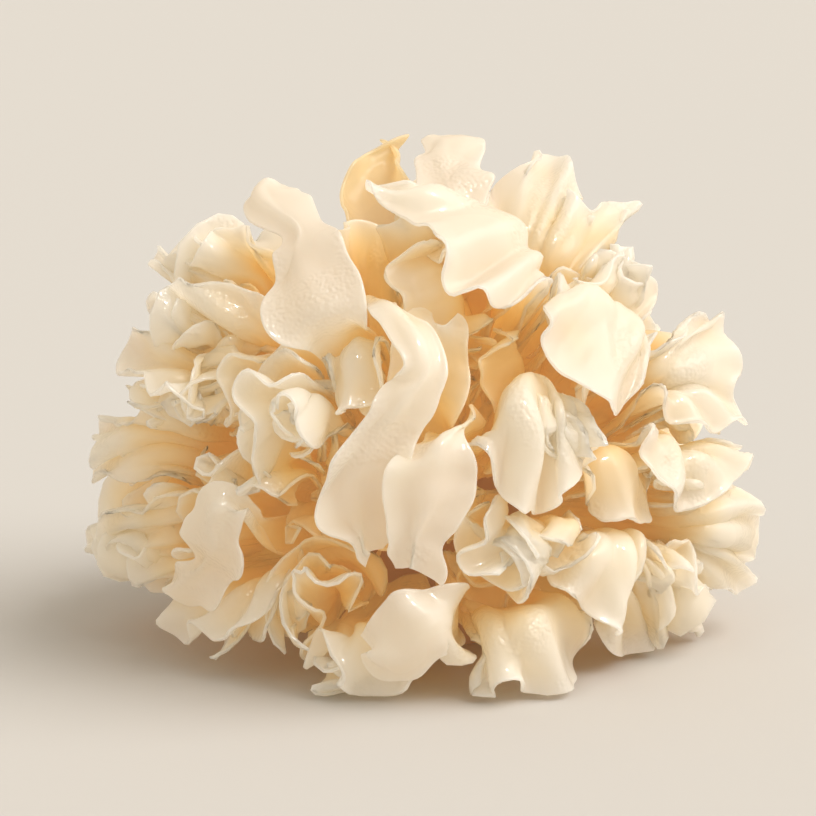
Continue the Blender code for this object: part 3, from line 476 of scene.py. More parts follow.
FANS["right_low"] = [
    50, 41, 8, 54, 41, 8, 58, 38, 7, 58.5, 36.5, 7, 60.7, 32, 7, 59.3, 28.5, 7, 57, 24, 6, 55, 21.7, 5, 52.5, 22, 4,
    50, 20, 4, 48, 22, 3,
], [
    46, 37, 8, 49, 35, 8, 51, 32, 8, 50, 28, 8, 47, 26, 7,
]
FANS["right_flank"] = [
    43, 32, 3, 46, 32, 3, 48.5, 29, 3, 49, 25, 3, 50, 20, 3, 49, 17, 3, 50, 14.5, 3, 48, 10, 3, 45.5, 10, 2,
    44.5, 7, 1,
], [
    40, 27, 8, 42, 25, 7, 43, 22, 6, 43, 18, 5, 41, 15, 4,
]
FANS["right_field"] = [
    29, 33, 2, 33, 31.5, 2, 37, 30.5, 2, 41, 31, 3, 44, 33, 4,
], [
    28, 44, 6, 33, 45, 6, 38, 44, 6, 42, 42, 8,
]
FANS["lip"] = [
    13, 37.3, 3, 11, 36.6, 0, 9.6, 34.5, -1, 9.6, 32, -2, 9.9, 30, -2, 8.6, 27.8, -3, 7.2, 25.6, -3, 8, 23.6, -3,
    11, 22, -4, 14.5, 21.8, -4, 17.3, 23.6, -4, 18.7, 26, -3, 20.5, 27.7, -2, 23, 27.7, -2, 25.5, 27, -2,
    28, 26.5, -1,
], [
    17, 37, 6, 16, 35, 4, 15.5, 32.5, 2, 17, 31, 1, 20, 31, 1, 24, 31.5, 1, 28, 32, 2,
]
FANS["apron"] = [
    18.7, 25.5, 0, 21, 23.8, -2, 24, 21.3, -3, 27, 19, -3, 29.5, 16.6, -4, 32, 14.9, -4, 34.2, 15.2, -3,
    35.5, 17.5, -2, 35.8, 21, 0, 38, 22, 1,
], [
    23, 29, 1, 27, 30, 0, 31, 30.5, 0, 34, 31, 1, 37, 32, 2, 40, 32, 4,
]
FANS["skirt_right"] = [
    5.5, 10.5, -6, 7.2, 9, -8, 6.4, 6.5, -9, 6.6, 4.5, -10, 8.2, 3, -11, 10.8, 2.6, -11, 13, 3.8, -11, 14.5, 6, -10,
    16.2, 8, -9, 18, 8, -9, 19.5, 5.8, -10, 21.5, 4.2, -11, 23.7, 3.6, -12, 25.7, 2, -12, 26.8, 0.9, -13,
    28, 0.2, -13, 29.6, 0.6, -12, 31.2, 1.2, -11, 32.7, 3, -10,
], [
    6, 13, 2, 10, 15, 0, 14, 17, -2, 18, 19, -3, 22, 20, -3, 25, 19, -2, 28, 16, -1,
]
FANS["hem_right"] = [
    30.5, 5, -3, 33, 3, -6, 36, 1.8, -7, 39, 0.6, -7, 41, 0.3, -7, 42.3, 3, -6, 43.5, 6, -5, 45, 10, -3, 44, 13, -2,
    46, 16, 0, 47, 20, 1,
], [
    32, 14, 0, 35, 16, -1, 38, 19, -1, 40, 22, 0, 42, 26, 2,
]
FANS["saucer"] = [
    -22, 4.5, -4, -21.3, 7, -5, -20.3, 10, -6, -19, 11.8, -7, -17.8, 11, -8, -17.4, 8, -9, -16.5, 5.2, -10,
    -14, 2.6, -12, -11, 1.1, -13, -7.5, 0.5, -14, -4, 0.9, -14, -0.5, 2, -13, 2.5, 4, -12, 4.7, 6.8, -10,
    5.6, 9.3, -8,
], [
    -19, 12, 2, -17, 12.5, 1, -13, 12.5, -1, -8, 12.5, -3, -3, 13, -3, 2, 13, -2, 6, 12, 0,
]
FANS["crumple"] = [
    -21.5, 4.5, -1, -22.8, 8.5, -2, -22.4, 13, -2, -24, 18, -2, -23.3, 23, -2, -22.3, 26.5, -1, -20.7, 27.8, -1,
    -18.8, 26.3, -1, -16.5, 24.8, -1, -13, 24.9, -1, -10.5, 23.3, -1, -9, 20.5, -1, -7.5, 17.5, -1,
], [
    -17, 9, 10, -18, 14, 9, -18.5, 19, 8, -17, 22, 8, -14, 20, 9, -11, 17, 10,
]
FANS["left_hem"] = [
    -24, 19.5, 0, -25, 16.8, -1, -27, 13.8, -2, -30, 12, -3, -33.5, 11.6, -4, -36.5, 12.7, -4, -40, 12.6, -3,
    -43, 12.5, -1, -45, 14, 1, -47, 17, 3, -46.3, 20.5, 4,
], [
    -22, 24, 8, -26, 23, 6, -30, 21, 5, -34, 20, 5, -38, 21, 6, -41, 24, 8,
]
FANS["left_fold"] = [
    -33, 47.5, 3, -36, 49.3, 3, -39, 47, 3, -40.7, 44.5, 3, -39, 41.5, 3, -40, 37, 3, -38, 34.5, 3, -41, 32, 4,
    -44, 31, 4, -46, 27, 4, -47, 23.5, 5,
], [
    -27, 44, 14, -30, 41, 14, -31, 37, 14, -33, 32, 14, -36, 28, 14,
]
FANS["left_field"] = [
    -28, 66, 8, -32, 66, 7, -36, 64, 6, -37.5, 60, 6, -37, 55, 6, -37.5, 50, 7, -34, 47, 8, -30, 45, 9,
], [
    -22, 62, 16, -26, 61, 15, -29, 58, 15, -29, 54, 15, -27, 50, 16,
]
FANS["left_cheek_back"] = [
    -40, 67, 4, -39.6, 64, 4, -38.2, 60, 4, -38.6, 55.5, 4, -39.2, 51, 4, -40.5, 54.7, 3, -42, 53.3, 2,
    -44.5, 53, 2, -47, 55, 2, -48.5, 57.5, 2, -50, 57, 3, -53, 57.5, 4, -54, 61, 4, -54, 66, 4, -53, 70, 4,
    -50, 71, 5,
], [
    -34, 64, 12, -36, 59, 12, -38, 58, 11, -41, 59, 10, -43, 62, 10, -42, 66, 10,
]
FANS["left_ear"] = [
    -50, 54, 4, -54, 53.5, 5, -56.5, 53, 5, -58, 50, 5, -57.5, 46, 5, -59, 42, 5, -58.5, 39, 5, -56.5, 37.7, 5,
    -53, 38, 4,
], [
    -43, 52, 10, -46, 49, 10, -47, 45, 10, -46, 41, 10,
]
FANS["left_low"] = [
    -52, 36, 4, -56, 37, 5, -58.5, 34, 5, -60.5, 30.5, 5, -59.5, 28, 5, -57, 27.8, 4, -54, 29.5, 4, -52, 28, 4,
    -52.7, 25, 4, -50, 20.5, 4, -47, 20.5, 4,
], [
    -44, 38, 10, -46, 34, 10, -46, 30, 10, -44, 26, 10, -41, 24, 10,
]
FANS["left_temple"] = [
    -30, 78, 6, -33, 76.5, 5, -37, 77.5, 5, -41, 77.5, 5, -44, 75, 5, -46.5, 73.5, 5, -49, 71.5, 6, -46, 68, 5,
    -43, 65, 4, -40.5, 66.5, 4,
], [
    -26, 70, 12, -30, 68, 11, -34, 67, 11, -37, 64, 11, -36, 60, 12,
]
FANS["left_crest"] = [
    -24, 85.5, 12, -27, 86.5, 10, -30, 88, 10, -33, 86, 10, -37, 85.3, 10, -39.5, 81.5, 9, -42.5, 82, 9, -46, 83, 9,
    -48.5, 81, 9, -49.5, 78, 8, -47.5, 75.5, 8, -46, 73.5, 8,
], [
    -22, 77, 18, -27, 77, 17, -31, 75, 16, -35, 72, 16, -37, 69, 16,
]
FANS["inner_left"] = [
    -29, 33, 9, -27, 30, 9, -24, 28, 9, -20, 30, 10, -16, 29, 11, -11, 27, 12, -5, 25, 12, 1, 23, 12,
], [
    -22, 36, 20, -18, 36, 20, -12, 34, 20, -5, 32, 20, 1, 30, 20,
]
FANS["inner_right"] = [
    4, 28, 8, 6, 23, 8, 9, 19, 8, 12, 15.5, 7, 15, 14, 6, 18, 13, 6,
], [
    9, 29, 16, 12, 26, 16, 15, 23, 15, 18, 21, 14,
]
FANS["gill"] = [
    9, 66, 9, 10, 60, 9, 10, 55, 9, 9, 51, 9,
], [
    16, 68, 14, 17, 62, 14, 17, 57, 14, 15, 53, 14,
]
HALFWAY_OUT = 2.0


def fan_net(rim, shoulder, rows):
    """Grid of a fan: splines from the root out to halfway, on to the shoulder, and over to the rim."""
    left, right = root_of(shoulder.mean(axis=0), shoulder[-1] - shoulder[0])
    u = np.linspace(0, 1, len(rim))[:, None]
    root = on_base(left + (right - left) * u)
    halfway = 0.5 * (root + shoulder) + unit(root - BASE_CENTRE) * HALFWAY_OUT
    stations = np.stack([root, halfway, shoulder, rim])
    return np.swapaxes(spline(stations, np.linspace(0, 1, rows)), 0, 1)


def traced_fan(lines, columns, rows):
    """Grid of a fan whose rim and shoulder are traced, at even steps of their lengths."""
    rim, shoulder = (along(from_front(line), np.linspace(0, 1, columns)) for line in lines)
    return fan_net(rim, shoulder, rows)


# Back fronds
# The same growth carried round the side that the photo hides: rings of fans that stand out from the base, turned
# about their own stalks and nested like petals, with rims that wave and curl outwards and down. A ring holds its
# count, first azimuth, where 0 is the front, step, height above level, reach and half width.
RINGS = {
    "back_low": (7, 86, 31, 9, 54, 22),
    "back_mid": (7, 92, 29, 37, 57, 21),
    "back_high": (4, 112, 45, 64, 61, 20),
    "back_top": (1, 185, 0, 82, 62, 14),
}
TURN = 32.0
TURN_VARIES = 10
RUFFLE = 6.0
RUFFLE_TURNS = 2.2 * math.pi
DROOP = -10.0
SCALLOP = 2.5
SIDES_SHORTER = 0.12
SHOULDER_REACH = 0.86
SHOULDER_WIDE = 0.8
SHOULDER_RUFFLE = 0.4


def hidden_fan(azimuth, height, reach, half_width, number, columns, rows):
    """Grid of a fan that stands out from the base in one direction, with a rim that waves about its own sheet."""
    a, h = math.radians(azimuth), math.radians(height)
    turn = math.radians(TURN + TURN_VARIES * math.sin(2.4 * number))
    outward = np.array([math.sin(a) * math.cos(h), -math.cos(a) * math.cos(h), math.sin(h)])
    level = np.array([math.cos(a), math.sin(a), 0.0])
    wide = level * math.cos(turn) - np.cross(outward, level) * math.sin(turn)
    over = np.cross(outward, wide)
    u = np.linspace(-1, 1, columns)[:, None]
    ruffle = np.sin(u * RUFFLE_TURNS + 0.8 * number)
    scallop = SCALLOP * np.cos(u * RUFFLE_TURNS * 1.3 + 2 * number)
    rim = (
        BASE_CENTRE
        + outward * (reach * (1 - SIDES_SHORTER * u**2) - 3 + scallop)
        + wide * half_width * (u + 0.15 * np.sin(2 * u * RUFFLE_TURNS + number))
        + over * (RUFFLE * ruffle + DROOP)
    )
    shoulder = (
        BASE_CENTRE
        + outward * reach * (SHOULDER_REACH - 0.1 * u**2)
        + wide * half_width * SHOULDER_WIDE * u
        + over * RUFFLE * SHOULDER_RUFFLE * ruffle
    )
    return fan_net(rim, shoulder, rows)


# Growth
# All the fronds grow from buds on the base at the same time, as the real ones do, and each makes room for its
# neighbours. This first growth is coarse, and it gives every frond the place and bend of its solid in the frame.
COARSE_FAN = (11, 4)
COARSE_LEAF = (4, LEAF_ROWS)
SHEET = 1.3
LOWEST_MIDDLE = 0.5 * SHEET + 0.1
CLEAR_OF_BASE = 2.0
STEPS = 54
REST_STEPS = 24
LOOK_EVERY = 3
MARGIN = 1.2
CLEAR_AT_ROOT = 2.4
CLEAR_AT_RIM = 3.4
CLEAR_PAST_RIM = CLEAR_AT_RIM + 1.5
SAMPLE_MM = 2.0
LONGEST_STEP = 1.4
FIRST_SIZE = 0.1
PUSH_GAIN = 1.5
PUSH_SHARED = 0.3
BEND_EASED = 0.35
DRAWN_BACK = 0.985


def standing(fan_grid, leaf_grid):
    """Every frond's grid as it would stand alone, by name, with grids of these columns and rows."""
    made = {name: leaf_net(edges, *leaf_grid) for name, edges in LEAVES.items()}
    made |= {name: traced_fan(lines, *fan_grid) for name, lines in FANS.items()}
    number = 0
    for ring, (count, first, step, *sizes) in RINGS.items():
        for n in range(count):
            number += 1
            made[f"{ring}_{n + 1}"] = hidden_fan(first + n * step, *sizes, number, *fan_grid)
    return made


def between(count, every):
    """Matrix that takes grid points to samples, with this many straight steps between neighbours."""
    samples = (count - 1) * every + 1
    place = np.linspace(0, count - 1, samples)
    return np.maximum(0, 1 - np.abs(place[:, None] - np.arange(count)[None, :]))


def smoothed(field, share):
    """The field moved by a share towards the mean of its neighbours on the grid."""
    wide = np.pad(field, ((1, 1), (1, 1), (0, 0)), mode="edge")
    mean = (wide[:-2, 1:-1] + wide[2:, 1:-1] + wide[1:-1, :-2] + wide[1:-1, 2:]) / 4
    return field + share * (mean - field)


def spacing(net, axis):
    """Steps between neighbours along one axis of the grid that keep the samples close together."""
    longest = np.linalg.norm(np.diff(net, axis=axis), axis=-1).mean() * LONGEST_STEP
    return max(1, math.ceil(longest / SAMPLE_MM))


def close_pairs(cloud, owner, reach):
    """Pairs of samples of different fronds that are within reach, found by sorting them into cubes of that size."""
    cell = np.floor((cloud - cloud.min(axis=0)) / reach).astype(np.int64) + 1
    size = cell.max(axis=0) + 2
    key = (cell[:, 0] * size[1] + cell[:, 1]) * size[2] + cell[:, 2]
    order = np.argsort(key, kind="stable")
    ranked = key[order]
    near_by = (-1, 0, 1)
    steps = [(dx * size[1] + dy) * size[2] + dz for dx in near_by for dy in near_by for dz in near_by]
    pairs = []
    for step in (step for step in steps if step >= 0):
        start = np.searchsorted(ranked, ranked + step, side="left")
        count = np.searchsorted(ranked, ranked + step, side="right") - start
        i = np.repeat(np.arange(len(cloud)), count)
        j = np.arange(len(i)) - np.repeat(np.cumsum(count) - count, count) + np.repeat(start, count)
        i, j = order[i], order[j]
        keep = (owner[i] != owner[j]) & ((step > 0) | (i < j))
        i, j = i[keep], j[keep]
        gap = cloud[i] - cloud[j]
        near = np.einsum("ij,ij->i", gap, gap) < reach * reach
        pairs.append((i[near], j[near]))
    return [np.concatenate(ends) for ends in zip(*pairs)]


def totals(index, values, length):
    """Sums of the rows of values that share an index."""
    return np.stack([np.bincount(index, weights=column, minlength=length) for column in values.T], axis=1)


def parted(cloud, i, j, clear):
    """How far the pairs that are too close push each sample, on average, and how many of them push it."""
    gap = cloud[i] - cloud[j]
    distance = np.linalg.norm(gap, axis=1)
    short = clear - distance
    i, j, gap, distance, short = (each[short > 0] for each in (i, j, gap, distance, short))
    push = gap * (0.5 * short / np.maximum(distance, 0.05))[:, None]
    total = totals(i, push, len(cloud)) - totals(j, push, len(cloud))
    hits = np.bincount(i, minlength=len(cloud)) + np.bincount(j, minlength=len(cloud))
    return total / np.maximum(hits, 1)[:, None], hits


def kept_off(now):
    """The grid moved out of the base and up off the cut's plane, with its root on the base."""
    direction = unit(now - BASE_CENTRE)
    inside = base_reach(direction) + CLEAR_OF_BASE - np.linalg.norm(now - BASE_CENTRE, axis=-1)
    now[:, 1:] += (direction * np.maximum(inside, 0)[..., None])[:, 1:]
    now[:, 0] = on_base(now[:, 0])
    now[..., 2] = np.maximum(now[..., 2], LOWEST_MIDDLE)
    return now


def grown(targets):
    """How far each grid is shifted after all the fronds have grown from buds together, each clear of the others."""
    target = list(targets.values())
    origin = [t[:, 0].mean(axis=0) for t in target]
    shift = [np.zeros_like(t) for t in target]
    maps = [(between(t.shape[0], spacing(t, 0)), between(t.shape[1], spacing(t, 1))) for t in target]
    clear = [(np.linspace(CLEAR_AT_ROOT, CLEAR_PAST_RIM, len(mv)), len(mu)) for mu, mv in maps]
    clear = np.concatenate([np.tile(np.minimum(CLEAR_AT_RIM, line), columns) for line, columns in clear])
    counts = [len(mu) * len(mv) for mu, mv in maps]
    owner = np.repeat(np.arange(len(target)), counts)
    for step in range(STEPS + REST_STEPS):
        size = min(1.0, FIRST_SIZE + (1 - FIRST_SIZE) * (step + 1) / STEPS)
        place = [o + size * (t - o) + s for o, t, s in zip(origin, target, shift)]
        samples = [np.einsum("au,uvc,bv->abc", mu, p, mv).reshape(-1, 3) for p, (mu, mv) in zip(place, maps)]
        cloud = np.concatenate(samples)
        if step % LOOK_EVERY == 0:
            i, j = close_pairs(cloud, owner, CLEAR_AT_RIM + MARGIN)
        total, hits = parted(cloud, i, j, 0.5 * (clear[i] + clear[j]))
        total = np.split(total, np.cumsum(counts)[:-1])
        touched = np.split((hits > 0).astype(float), np.cumsum(counts)[:-1])
        for k, (mu, mv) in enumerate(maps):
            shape = (len(mu), len(mv))
            push = np.einsum("au,abc,bv->uvc", mu, total[k].reshape(*shape, 3), mv)
            weight = np.einsum("au,ab,bv->uv", mu, touched[k].reshape(shape), mv)[..., None]
            shift[k] = smoothed(shift[k] + PUSH_GAIN * push / (weight + PUSH_SHARED), BEND_EASED)
            shift[k] *= DRAWN_BACK if step < STEPS else 1.0
            bud = origin[k] + size * (target[k] - origin[k])
            shift[k] = kept_off(bud + shift[k]) - bud
    return dict(zip(targets, shift))


coarse_shift = grown(standing(COARSE_FAN, COARSE_LEAF))

# Frills
# Each frond is a thin sheet of jelly that grew faster at its rim than at its root, so its free edge stands in waves,
# held here by length and height, coarse ones first. Its sides roll in, and smaller lobes fork off its face, grown in
# one piece with it. All the sheets open together, kept clear of each other.
FAN_GRID = (45, 17)
LEAF_GRID = (13, 45)
FRILL_STEPS = 16
FRILL_REST_STEPS = 8
FIRST_FRILL = 0.3
FRILL_GAIN = 1.6
FRILL_EASED = 0.4
CLEAR_SHEETS = 1.7
FRILL_MARGIN = 0.9
LIVE_FROM = 0.25
OVERHANG_LOW = np.array([-1.0, 2.0, 0.0])
OVERHANG_HIGH = np.array([-4.5, 2.0, -2.5])
CLEAR_FLOOR = 0.6
FINISH = 0.35
RIM_LENGTHS = (15, 8, 5)
EDGE_LENGTHS = (15, 6, 3.5)
TRACED_HEIGHTS = (3.3, 0.8, 0.1)
BACK_HEIGHTS = (4.0, 1.1, 0.1)
LEAF_HEIGHTS = (1.9, 0.35, 0.05)
SWELL_LENGTHS = (19, 17)
SWELL = 1.5
STRETCH_LENGTH = 9
STRETCH = 0.3
BELLY = 0.8
FLARE = 2.4
CORNER = 0.2
ROLL_COLUMNS = 5
ROLL_RADIUS = 5.0
ROLL_TURN = 0.95
ROLL_SHORTENS = 0.5
MOST_SHORTER = 0.8
LEAF_TWIST = 1.2
LEAF_BOW = 1.0
LEAF_CUP = 2.6
LOBE_GRID = (33, 12)
FAN_LOBES = (
    (1, (0.16, 0.84), (0.3, 0.93), (5, 8), (2.4, 0.6)),
    (1, (0.2, 0.8), (0.3, 0.86), (9, 12), (2.6, 0.6)),
)
BACK_LOBES = (
    (1, (0.14, 0.7), (0.3, 0.98), (5, 8), (2.6, 0.8)),
    (-1, (0.3, 0.86), (0.3, 0.95), (5, 8), (2.6, 0.8)),
)
LOBE_LENGTHS = (15, 8)
LOBE_ROOT_LEAST = 1.6
FRILL_SEED = 1000


def resampled(net, us, vs):
    """Points of the smooth surface through the grid at the parameters us across and vs along, each 0 to 1."""
    return np.swapaxes(spline(np.swapaxes(spline(net, us), 0, 1), vs), 0, 1)


def surface_at(net, u, v):
    """Points of the smooth surface through the grid at scattered parameters, from the 16 knots about each."""
    wide = np.pad(net, ((1, 1), (1, 1), (0, 0)), mode="reflect", reflect_type="odd")
    (cell_u, shares_u), (cell_v, shares_v) = (shares_of(at, count) for at, count in zip((u, v), net.shape))
    point = 0
    for a, share_u in enumerate(shares_u):
        for b, share_v in enumerate(shares_v):
            point = point + wide[cell_u + a, cell_v + b] * (share_u * share_v)[..., None]
    return point


def normals(net):
    """Unit normals of the surface on a grid: the cross product of its directions across and along."""
    return unit(np.cross(np.gradient(net, axis=0), np.gradient(net, axis=1)))


def run_of(net, axis):
    """Length run along one axis of the grid, from its start, at every point."""
    steps = np.linalg.norm(np.diff(net, axis=axis), axis=-1)
    start = np.zeros_like(np.take(net[..., 0], [0], axis=axis))
    return np.concatenate([start, np.cumsum(steps, axis=axis)], axis=axis)


def wave(run, rng, length, height):
    """A sine along a run whose phase and height wander more slowly, each from a seeded draw."""
    a, b, c = rng.uniform(0, 2 * math.pi, 3)
    turn = 2 * math.pi / length * run
    wandering = np.sin(turn + a + 1.1 * np.sin(turn / 2.7 + b))
    return height * (0.65 + 0.35 * np.sin(turn / 1.9 + c)) * wandering


def bellied(net, side):
    """The fan with its face bowed out past the shoulder, by half a sine, and its rim flared out by a fourth power."""
    t = np.clip(3 * np.linspace(0, 1, net.shape[1]) - 2, 0, 1)
    return net - side * normals(net) * (BELLY * np.sin(math.pi * t) + FLARE * t**4)[None, :, None]


def rolled_in(net, side):
    """The fan with both sides carried on and rolled round to its inner face, and its rim rounded off towards them."""
    v = np.linspace(0, 1, net.shape[1])
    radius = ROLL_RADIUS * np.minimum(1, 0.15 + 1.3 * v)[:, None]
    faces = side * normals(net)
    ends = []
    for edge, next_in in ((0, 2), (-1, -3)):
        out = unit(net[edge] - net[next_in])
        face = unit(faces[edge] - out * np.sum(faces[edge] * out, axis=-1, keepdims=True))
        turn = np.linspace(0, ROLL_TURN, ROLL_COLUMNS + 1)[1:, None, None]
        ends.append(net[edge] + radius * (out * np.sin(turn) + face * (1 - np.cos(turn))))
    whole = np.concatenate([ends[0][::-1], net, ends[1]])
    u = np.linspace(-1, 1, len(net))
    roll = np.linspace(0, 1, ROLL_COLUMNS + 1)[1:]
    rounded = np.concatenate([np.ones_like(roll), u**6, np.ones_like(roll)])
    rolled = np.concatenate([roll[::-1], 0 * u, roll]) ** 1.3
    shorter = np.minimum(CORNER * rounded + ROLL_SHORTENS * rolled, MOST_SHORTER)[:, None]
    at = v * (1 - shorter)
    return surface_at(whole, np.broadcast_to(np.linspace(0, 1, len(whole))[:, None], at.shape), at)


def fan_frill(net, rng, heights):
    """Shift of a fan into waves along its rim, which grow from nothing near the root and get finer to the edge."""
    v = np.linspace(0, 1, net.shape[1])
    run = run_of(net, 0)[:, -1:] + 4 * np.sin(5 * v + rng.uniform(0, 6))
    length = run_of(net, 1)[:, -1].mean()
    growing = (np.clip((v - 0.2) / 0.8, 0, 1) ** 2, v**5, v**14)
    large, medium, small = (share * wave(run, rng, *each) for share, *each in zip(growing, RIM_LENGTHS, heights))
    swell = SWELL * np.clip(2 * v, 0, 1) * wave(run, rng, SWELL_LENGTHS[0], 1)
    lift = large + medium + small + swell * wave(v * length, rng, SWELL_LENGTHS[1], 1)
    stretch = STRETCH * heights[1] * v**6 * wave(run, rng, STRETCH_LENGTH, 1.0)
    return normals(net) * lift[..., None] + unit(np.gradient(net, axis=1)) * stretch[..., None]


def leaf_frill(net, rng, heights):
    """Shift of a leaf into waves along its two long edges, each with its own, fading out towards its middle line."""
    u = np.linspace(-1, 1, net.shape[0])[:, None]
    v = np.linspace(0, 1, net.shape[1])
    lift = 0
    for edge, half in ((0, u < 0), (-1, u >= 0)):
        run = run_of(net, 1)[edge][None, :]
        growing = (1, np.abs(u), u**4)
        waves = sum(share * wave(run, rng, *each) for share, *each in zip(growing, EDGE_LENGTHS, heights))
        lift = lift + np.where(half, np.abs(u) ** 1.6, 0) * waves
    a, b = rng.uniform(0, 2 * math.pi, 2)
    lift = lift + LEAF_TWIST * np.sin(6 * v + a) * u + LEAF_BOW * np.sin(8 * v + b) * (1 - u**2)
    lift = lift - LEAF_CUP * inner_side(net) * u**4 + 0.5 * np.sin(5.5 * u + 5 * v + b) * v**2
    return normals(net) * (lift * np.clip(v / 0.4, 0, 1))[..., None]


def lobe_of(rng, side, u_span, v_span, reach, heights):
    """A lobe's place on its frond and its lift off it: from a root line it leans away to its own waved rim."""
    a = np.linspace(0, 1, LOBE_GRID[0])[:, None]
    b = np.linspace(0, 1, LOBE_GRID[1])[None, :]
    turn = 2 * math.pi
    p, q, r = rng.uniform(0, turn, 3)
    root = v_span[0] + 0.05 * np.sin(turn * 1.3 * a + p)
    tip = v_span[1] - 0.7 * (v_span[1] - v_span[0]) * np.abs(2 * a - 1) ** 3 + 0.03 * np.sin(turn * 1.6 * a + q)
    u = np.broadcast_to(u_span[0] + (u_span[1] - u_span[0]) * a, LOBE_GRID)
    run = 50 * (u_span[1] - u_span[0]) * a
    lift = reach * b**0.8 * (0.75 + 0.25 * np.sin(turn * 1.6 * a + r)) * (0.85 + 0.15 * np.sin(math.pi * a))
    coarse, fine = (wave(run, rng, *each) for each in zip(LOBE_LENGTHS, heights))
    lift = np.maximum(lift + b**1.5 * (coarse + b**2 * fine), LOBE_ROOT_LEAST * np.minimum(1, 3 * b))
    return u, np.clip(root + (tip - root) * b, 0, 1), side * lift


def inner_side(net):
    """1 or -1: the side of the sheet's normals that looks back to the base, near its rim."""
    row = int(0.85 * (net.shape[1] - 1))
    return 1 if np.sum(normals(net)[:, row] * (BASE_CENTRE + [0, 0, 15] - net[:, row])) > 0 else -1


def lobes_for(name, net, rng):
    """The lobes of a frond: two behind a traced fan, one on each side of a back frond, and none on a leaf."""
    side = inner_side(net) if name in FANS else 1
    own = () if name in LEAVES else FAN_LOBES if name in FANS else BACK_LOBES
    return [lobe_of(rng, side * way, us, vs, rng.uniform(*reach), heights) for way, us, vs, reach, heights in own]


def kept_in(points):
    """The points drawn back inside the dome: a box whose corners are rounded off by a fourth power, on the floor."""
    low, high = np.array(cad_low) / MM - OVERHANG_LOW, np.array(cad_high) / MM + OVERHANG_HIGH
    middle, half = (low + high) / 2, (high - low) / 2
    middle[2], half[2] = 0.0, high[2]
    over = np.sum(((points - middle) / half) ** 4, axis=-1, keepdims=True) ** 0.25
    inside = middle + (points - middle) / np.maximum(over, 1)
    inside[..., 2] = np.maximum(inside[..., 2], CLEAR_FLOOR)
    return inside


def calmed(net):
    """The opened sheet with its sharpest corners eased, and its root rows left where they are."""
    eased = smoothed(smoothed(net, FINISH), FINISH)
    share = np.clip(np.arange(net.shape[1]) / 3, 0, 1)[None, :, None]
    return net + share * (eased - net)


def opened(rest, frills, lobes):
    """All sheets, fronds first and then lobes, after they have opened together and pushed each other apart."""
    parents = [k for k, own in enumerate(lobes) for _ in own]
    lobes = [lobe for own in lobes for lobe in own]
    count = len(rest)
    shift = [np.zeros_like(n) for n in rest] + [np.zeros((*LOBE_GRID, 3)) for _ in lobes]
    first = [int(LIVE_FROM * n.shape[1]) for n in rest] + [1] * len(lobes)
    clear = [np.full(n.shape[0] * (n.shape[1] - f), CLEAR_SHEETS) for n, f in zip(rest, first)]
    near_root = np.minimum(1, 2 * np.linspace(0, 1, LOBE_GRID[1])[1:])
    clear += [np.tile(CLEAR_SHEETS * near_root, LOBE_GRID[0])] * len(lobes)
    sizes = [len(c) for c in clear]
    clear = np.concatenate(clear)
    owner = np.repeat(np.arange(len(sizes)), sizes)
    for step in range(FRILL_STEPS + FRILL_REST_STEPS + 1):
        size = min(1.0, FIRST_FRILL + (1 - FIRST_FRILL) * (step + 1) / FRILL_STEPS)
        now = [n + size * f + s for n, f, s in zip(rest, frills, shift)]
        faces = [normals(n) for n in now]
        for k, (parent, (u, v, lift)) in enumerate(zip(parents, lobes)):
            lean = surface_at(faces[parent], u, v) * (size * lift)[..., None]
            now.append(surface_at(now[parent], u, v) + lean + shift[count + k])
        if step == FRILL_STEPS + FRILL_REST_STEPS:
            return parents, [calmed(n) for n in now]
        cloud = np.concatenate([n[:, f:].reshape(-1, 3) for n, f in zip(now, first)])
        if step % LOOK_EVERY == 0:
            i, j = close_pairs(cloud, owner, CLEAR_SHEETS + FRILL_MARGIN)
        total, hits = parted(cloud, i, j, np.minimum(clear[i], clear[j]))
        for k, push in enumerate(np.split(total, np.cumsum(sizes)[:-1])):
            grid = now[k][:, first[k]:]
            push = FRILL_GAIN * push.reshape(grid.shape) + kept_in(grid) - grid
            shift[k][:, first[k]:] += push * np.minimum(1, np.arange(1, grid.shape[1] + 1) / 3)[None, :, None]
            held = shift[k][:, :first[k]].copy()
            shift[k] = smoothed(shift[k], FRILL_EASED)
            shift[k][:, :first[k]] = held


names = list(coarse_shift)
standing_fine = standing(FAN_GRID, LEAF_GRID)
rest, frills, lobes = [], [], []
for number, name in enumerate(names):
    fine = standing_fine[name]
    across, rows = (np.linspace(0, 1, count) for count in fine.shape[:2])
    fine = fine + resampled(coarse_shift[name], across, rows)
    if name not in LEAVES:
        side = inner_side(fine) * (1 if name in FANS else (-1) ** number)
        fine = rolled_in(bellied(fine, side) if name in FANS else fine, side)
    rng = np.random.default_rng(FRILL_SEED + number)
    heights = LEAF_HEIGHTS if name in LEAVES else TRACED_HEIGHTS if name in FANS else BACK_HEIGHTS
    rest.append(fine)
    frills.append((leaf_frill if name in LEAVES else fan_frill)(fine, rng, heights))
    lobes.append(lobes_for(name, fine, rng))
parents, opened_sheets = opened(rest, frills, lobes)

# Sheets
# The fronds' jelly is about half a millimetre thick, with a slightly thicker round bead along every free edge and
# fine creases that run out to it. Its colour is painted light and shade: pale and milky at the rims as if lit
# through them, and painted amber shade down in the folds.
HALF_THICK = 0.25
BEAD = 0.25
BEAD_WIDE = 0.6
EDGE_STOPS = np.array([0.0, 0.03, 0.1, 0.22, 0.42, 0.8])
FRILL_SPACING = 0.8
CREASES = ((7.0, 0.26), (3.2, 0.09))
CREASE_SEED = 2000
HEART = np.array([0.0, 0.0, 28.0])
SKY_CELLS = (60, 24)
NEIGHBOURS = ((-1, 0), (1, 0), (0, -1), (0, 1))
SPREADS = 2
BLURS = 4
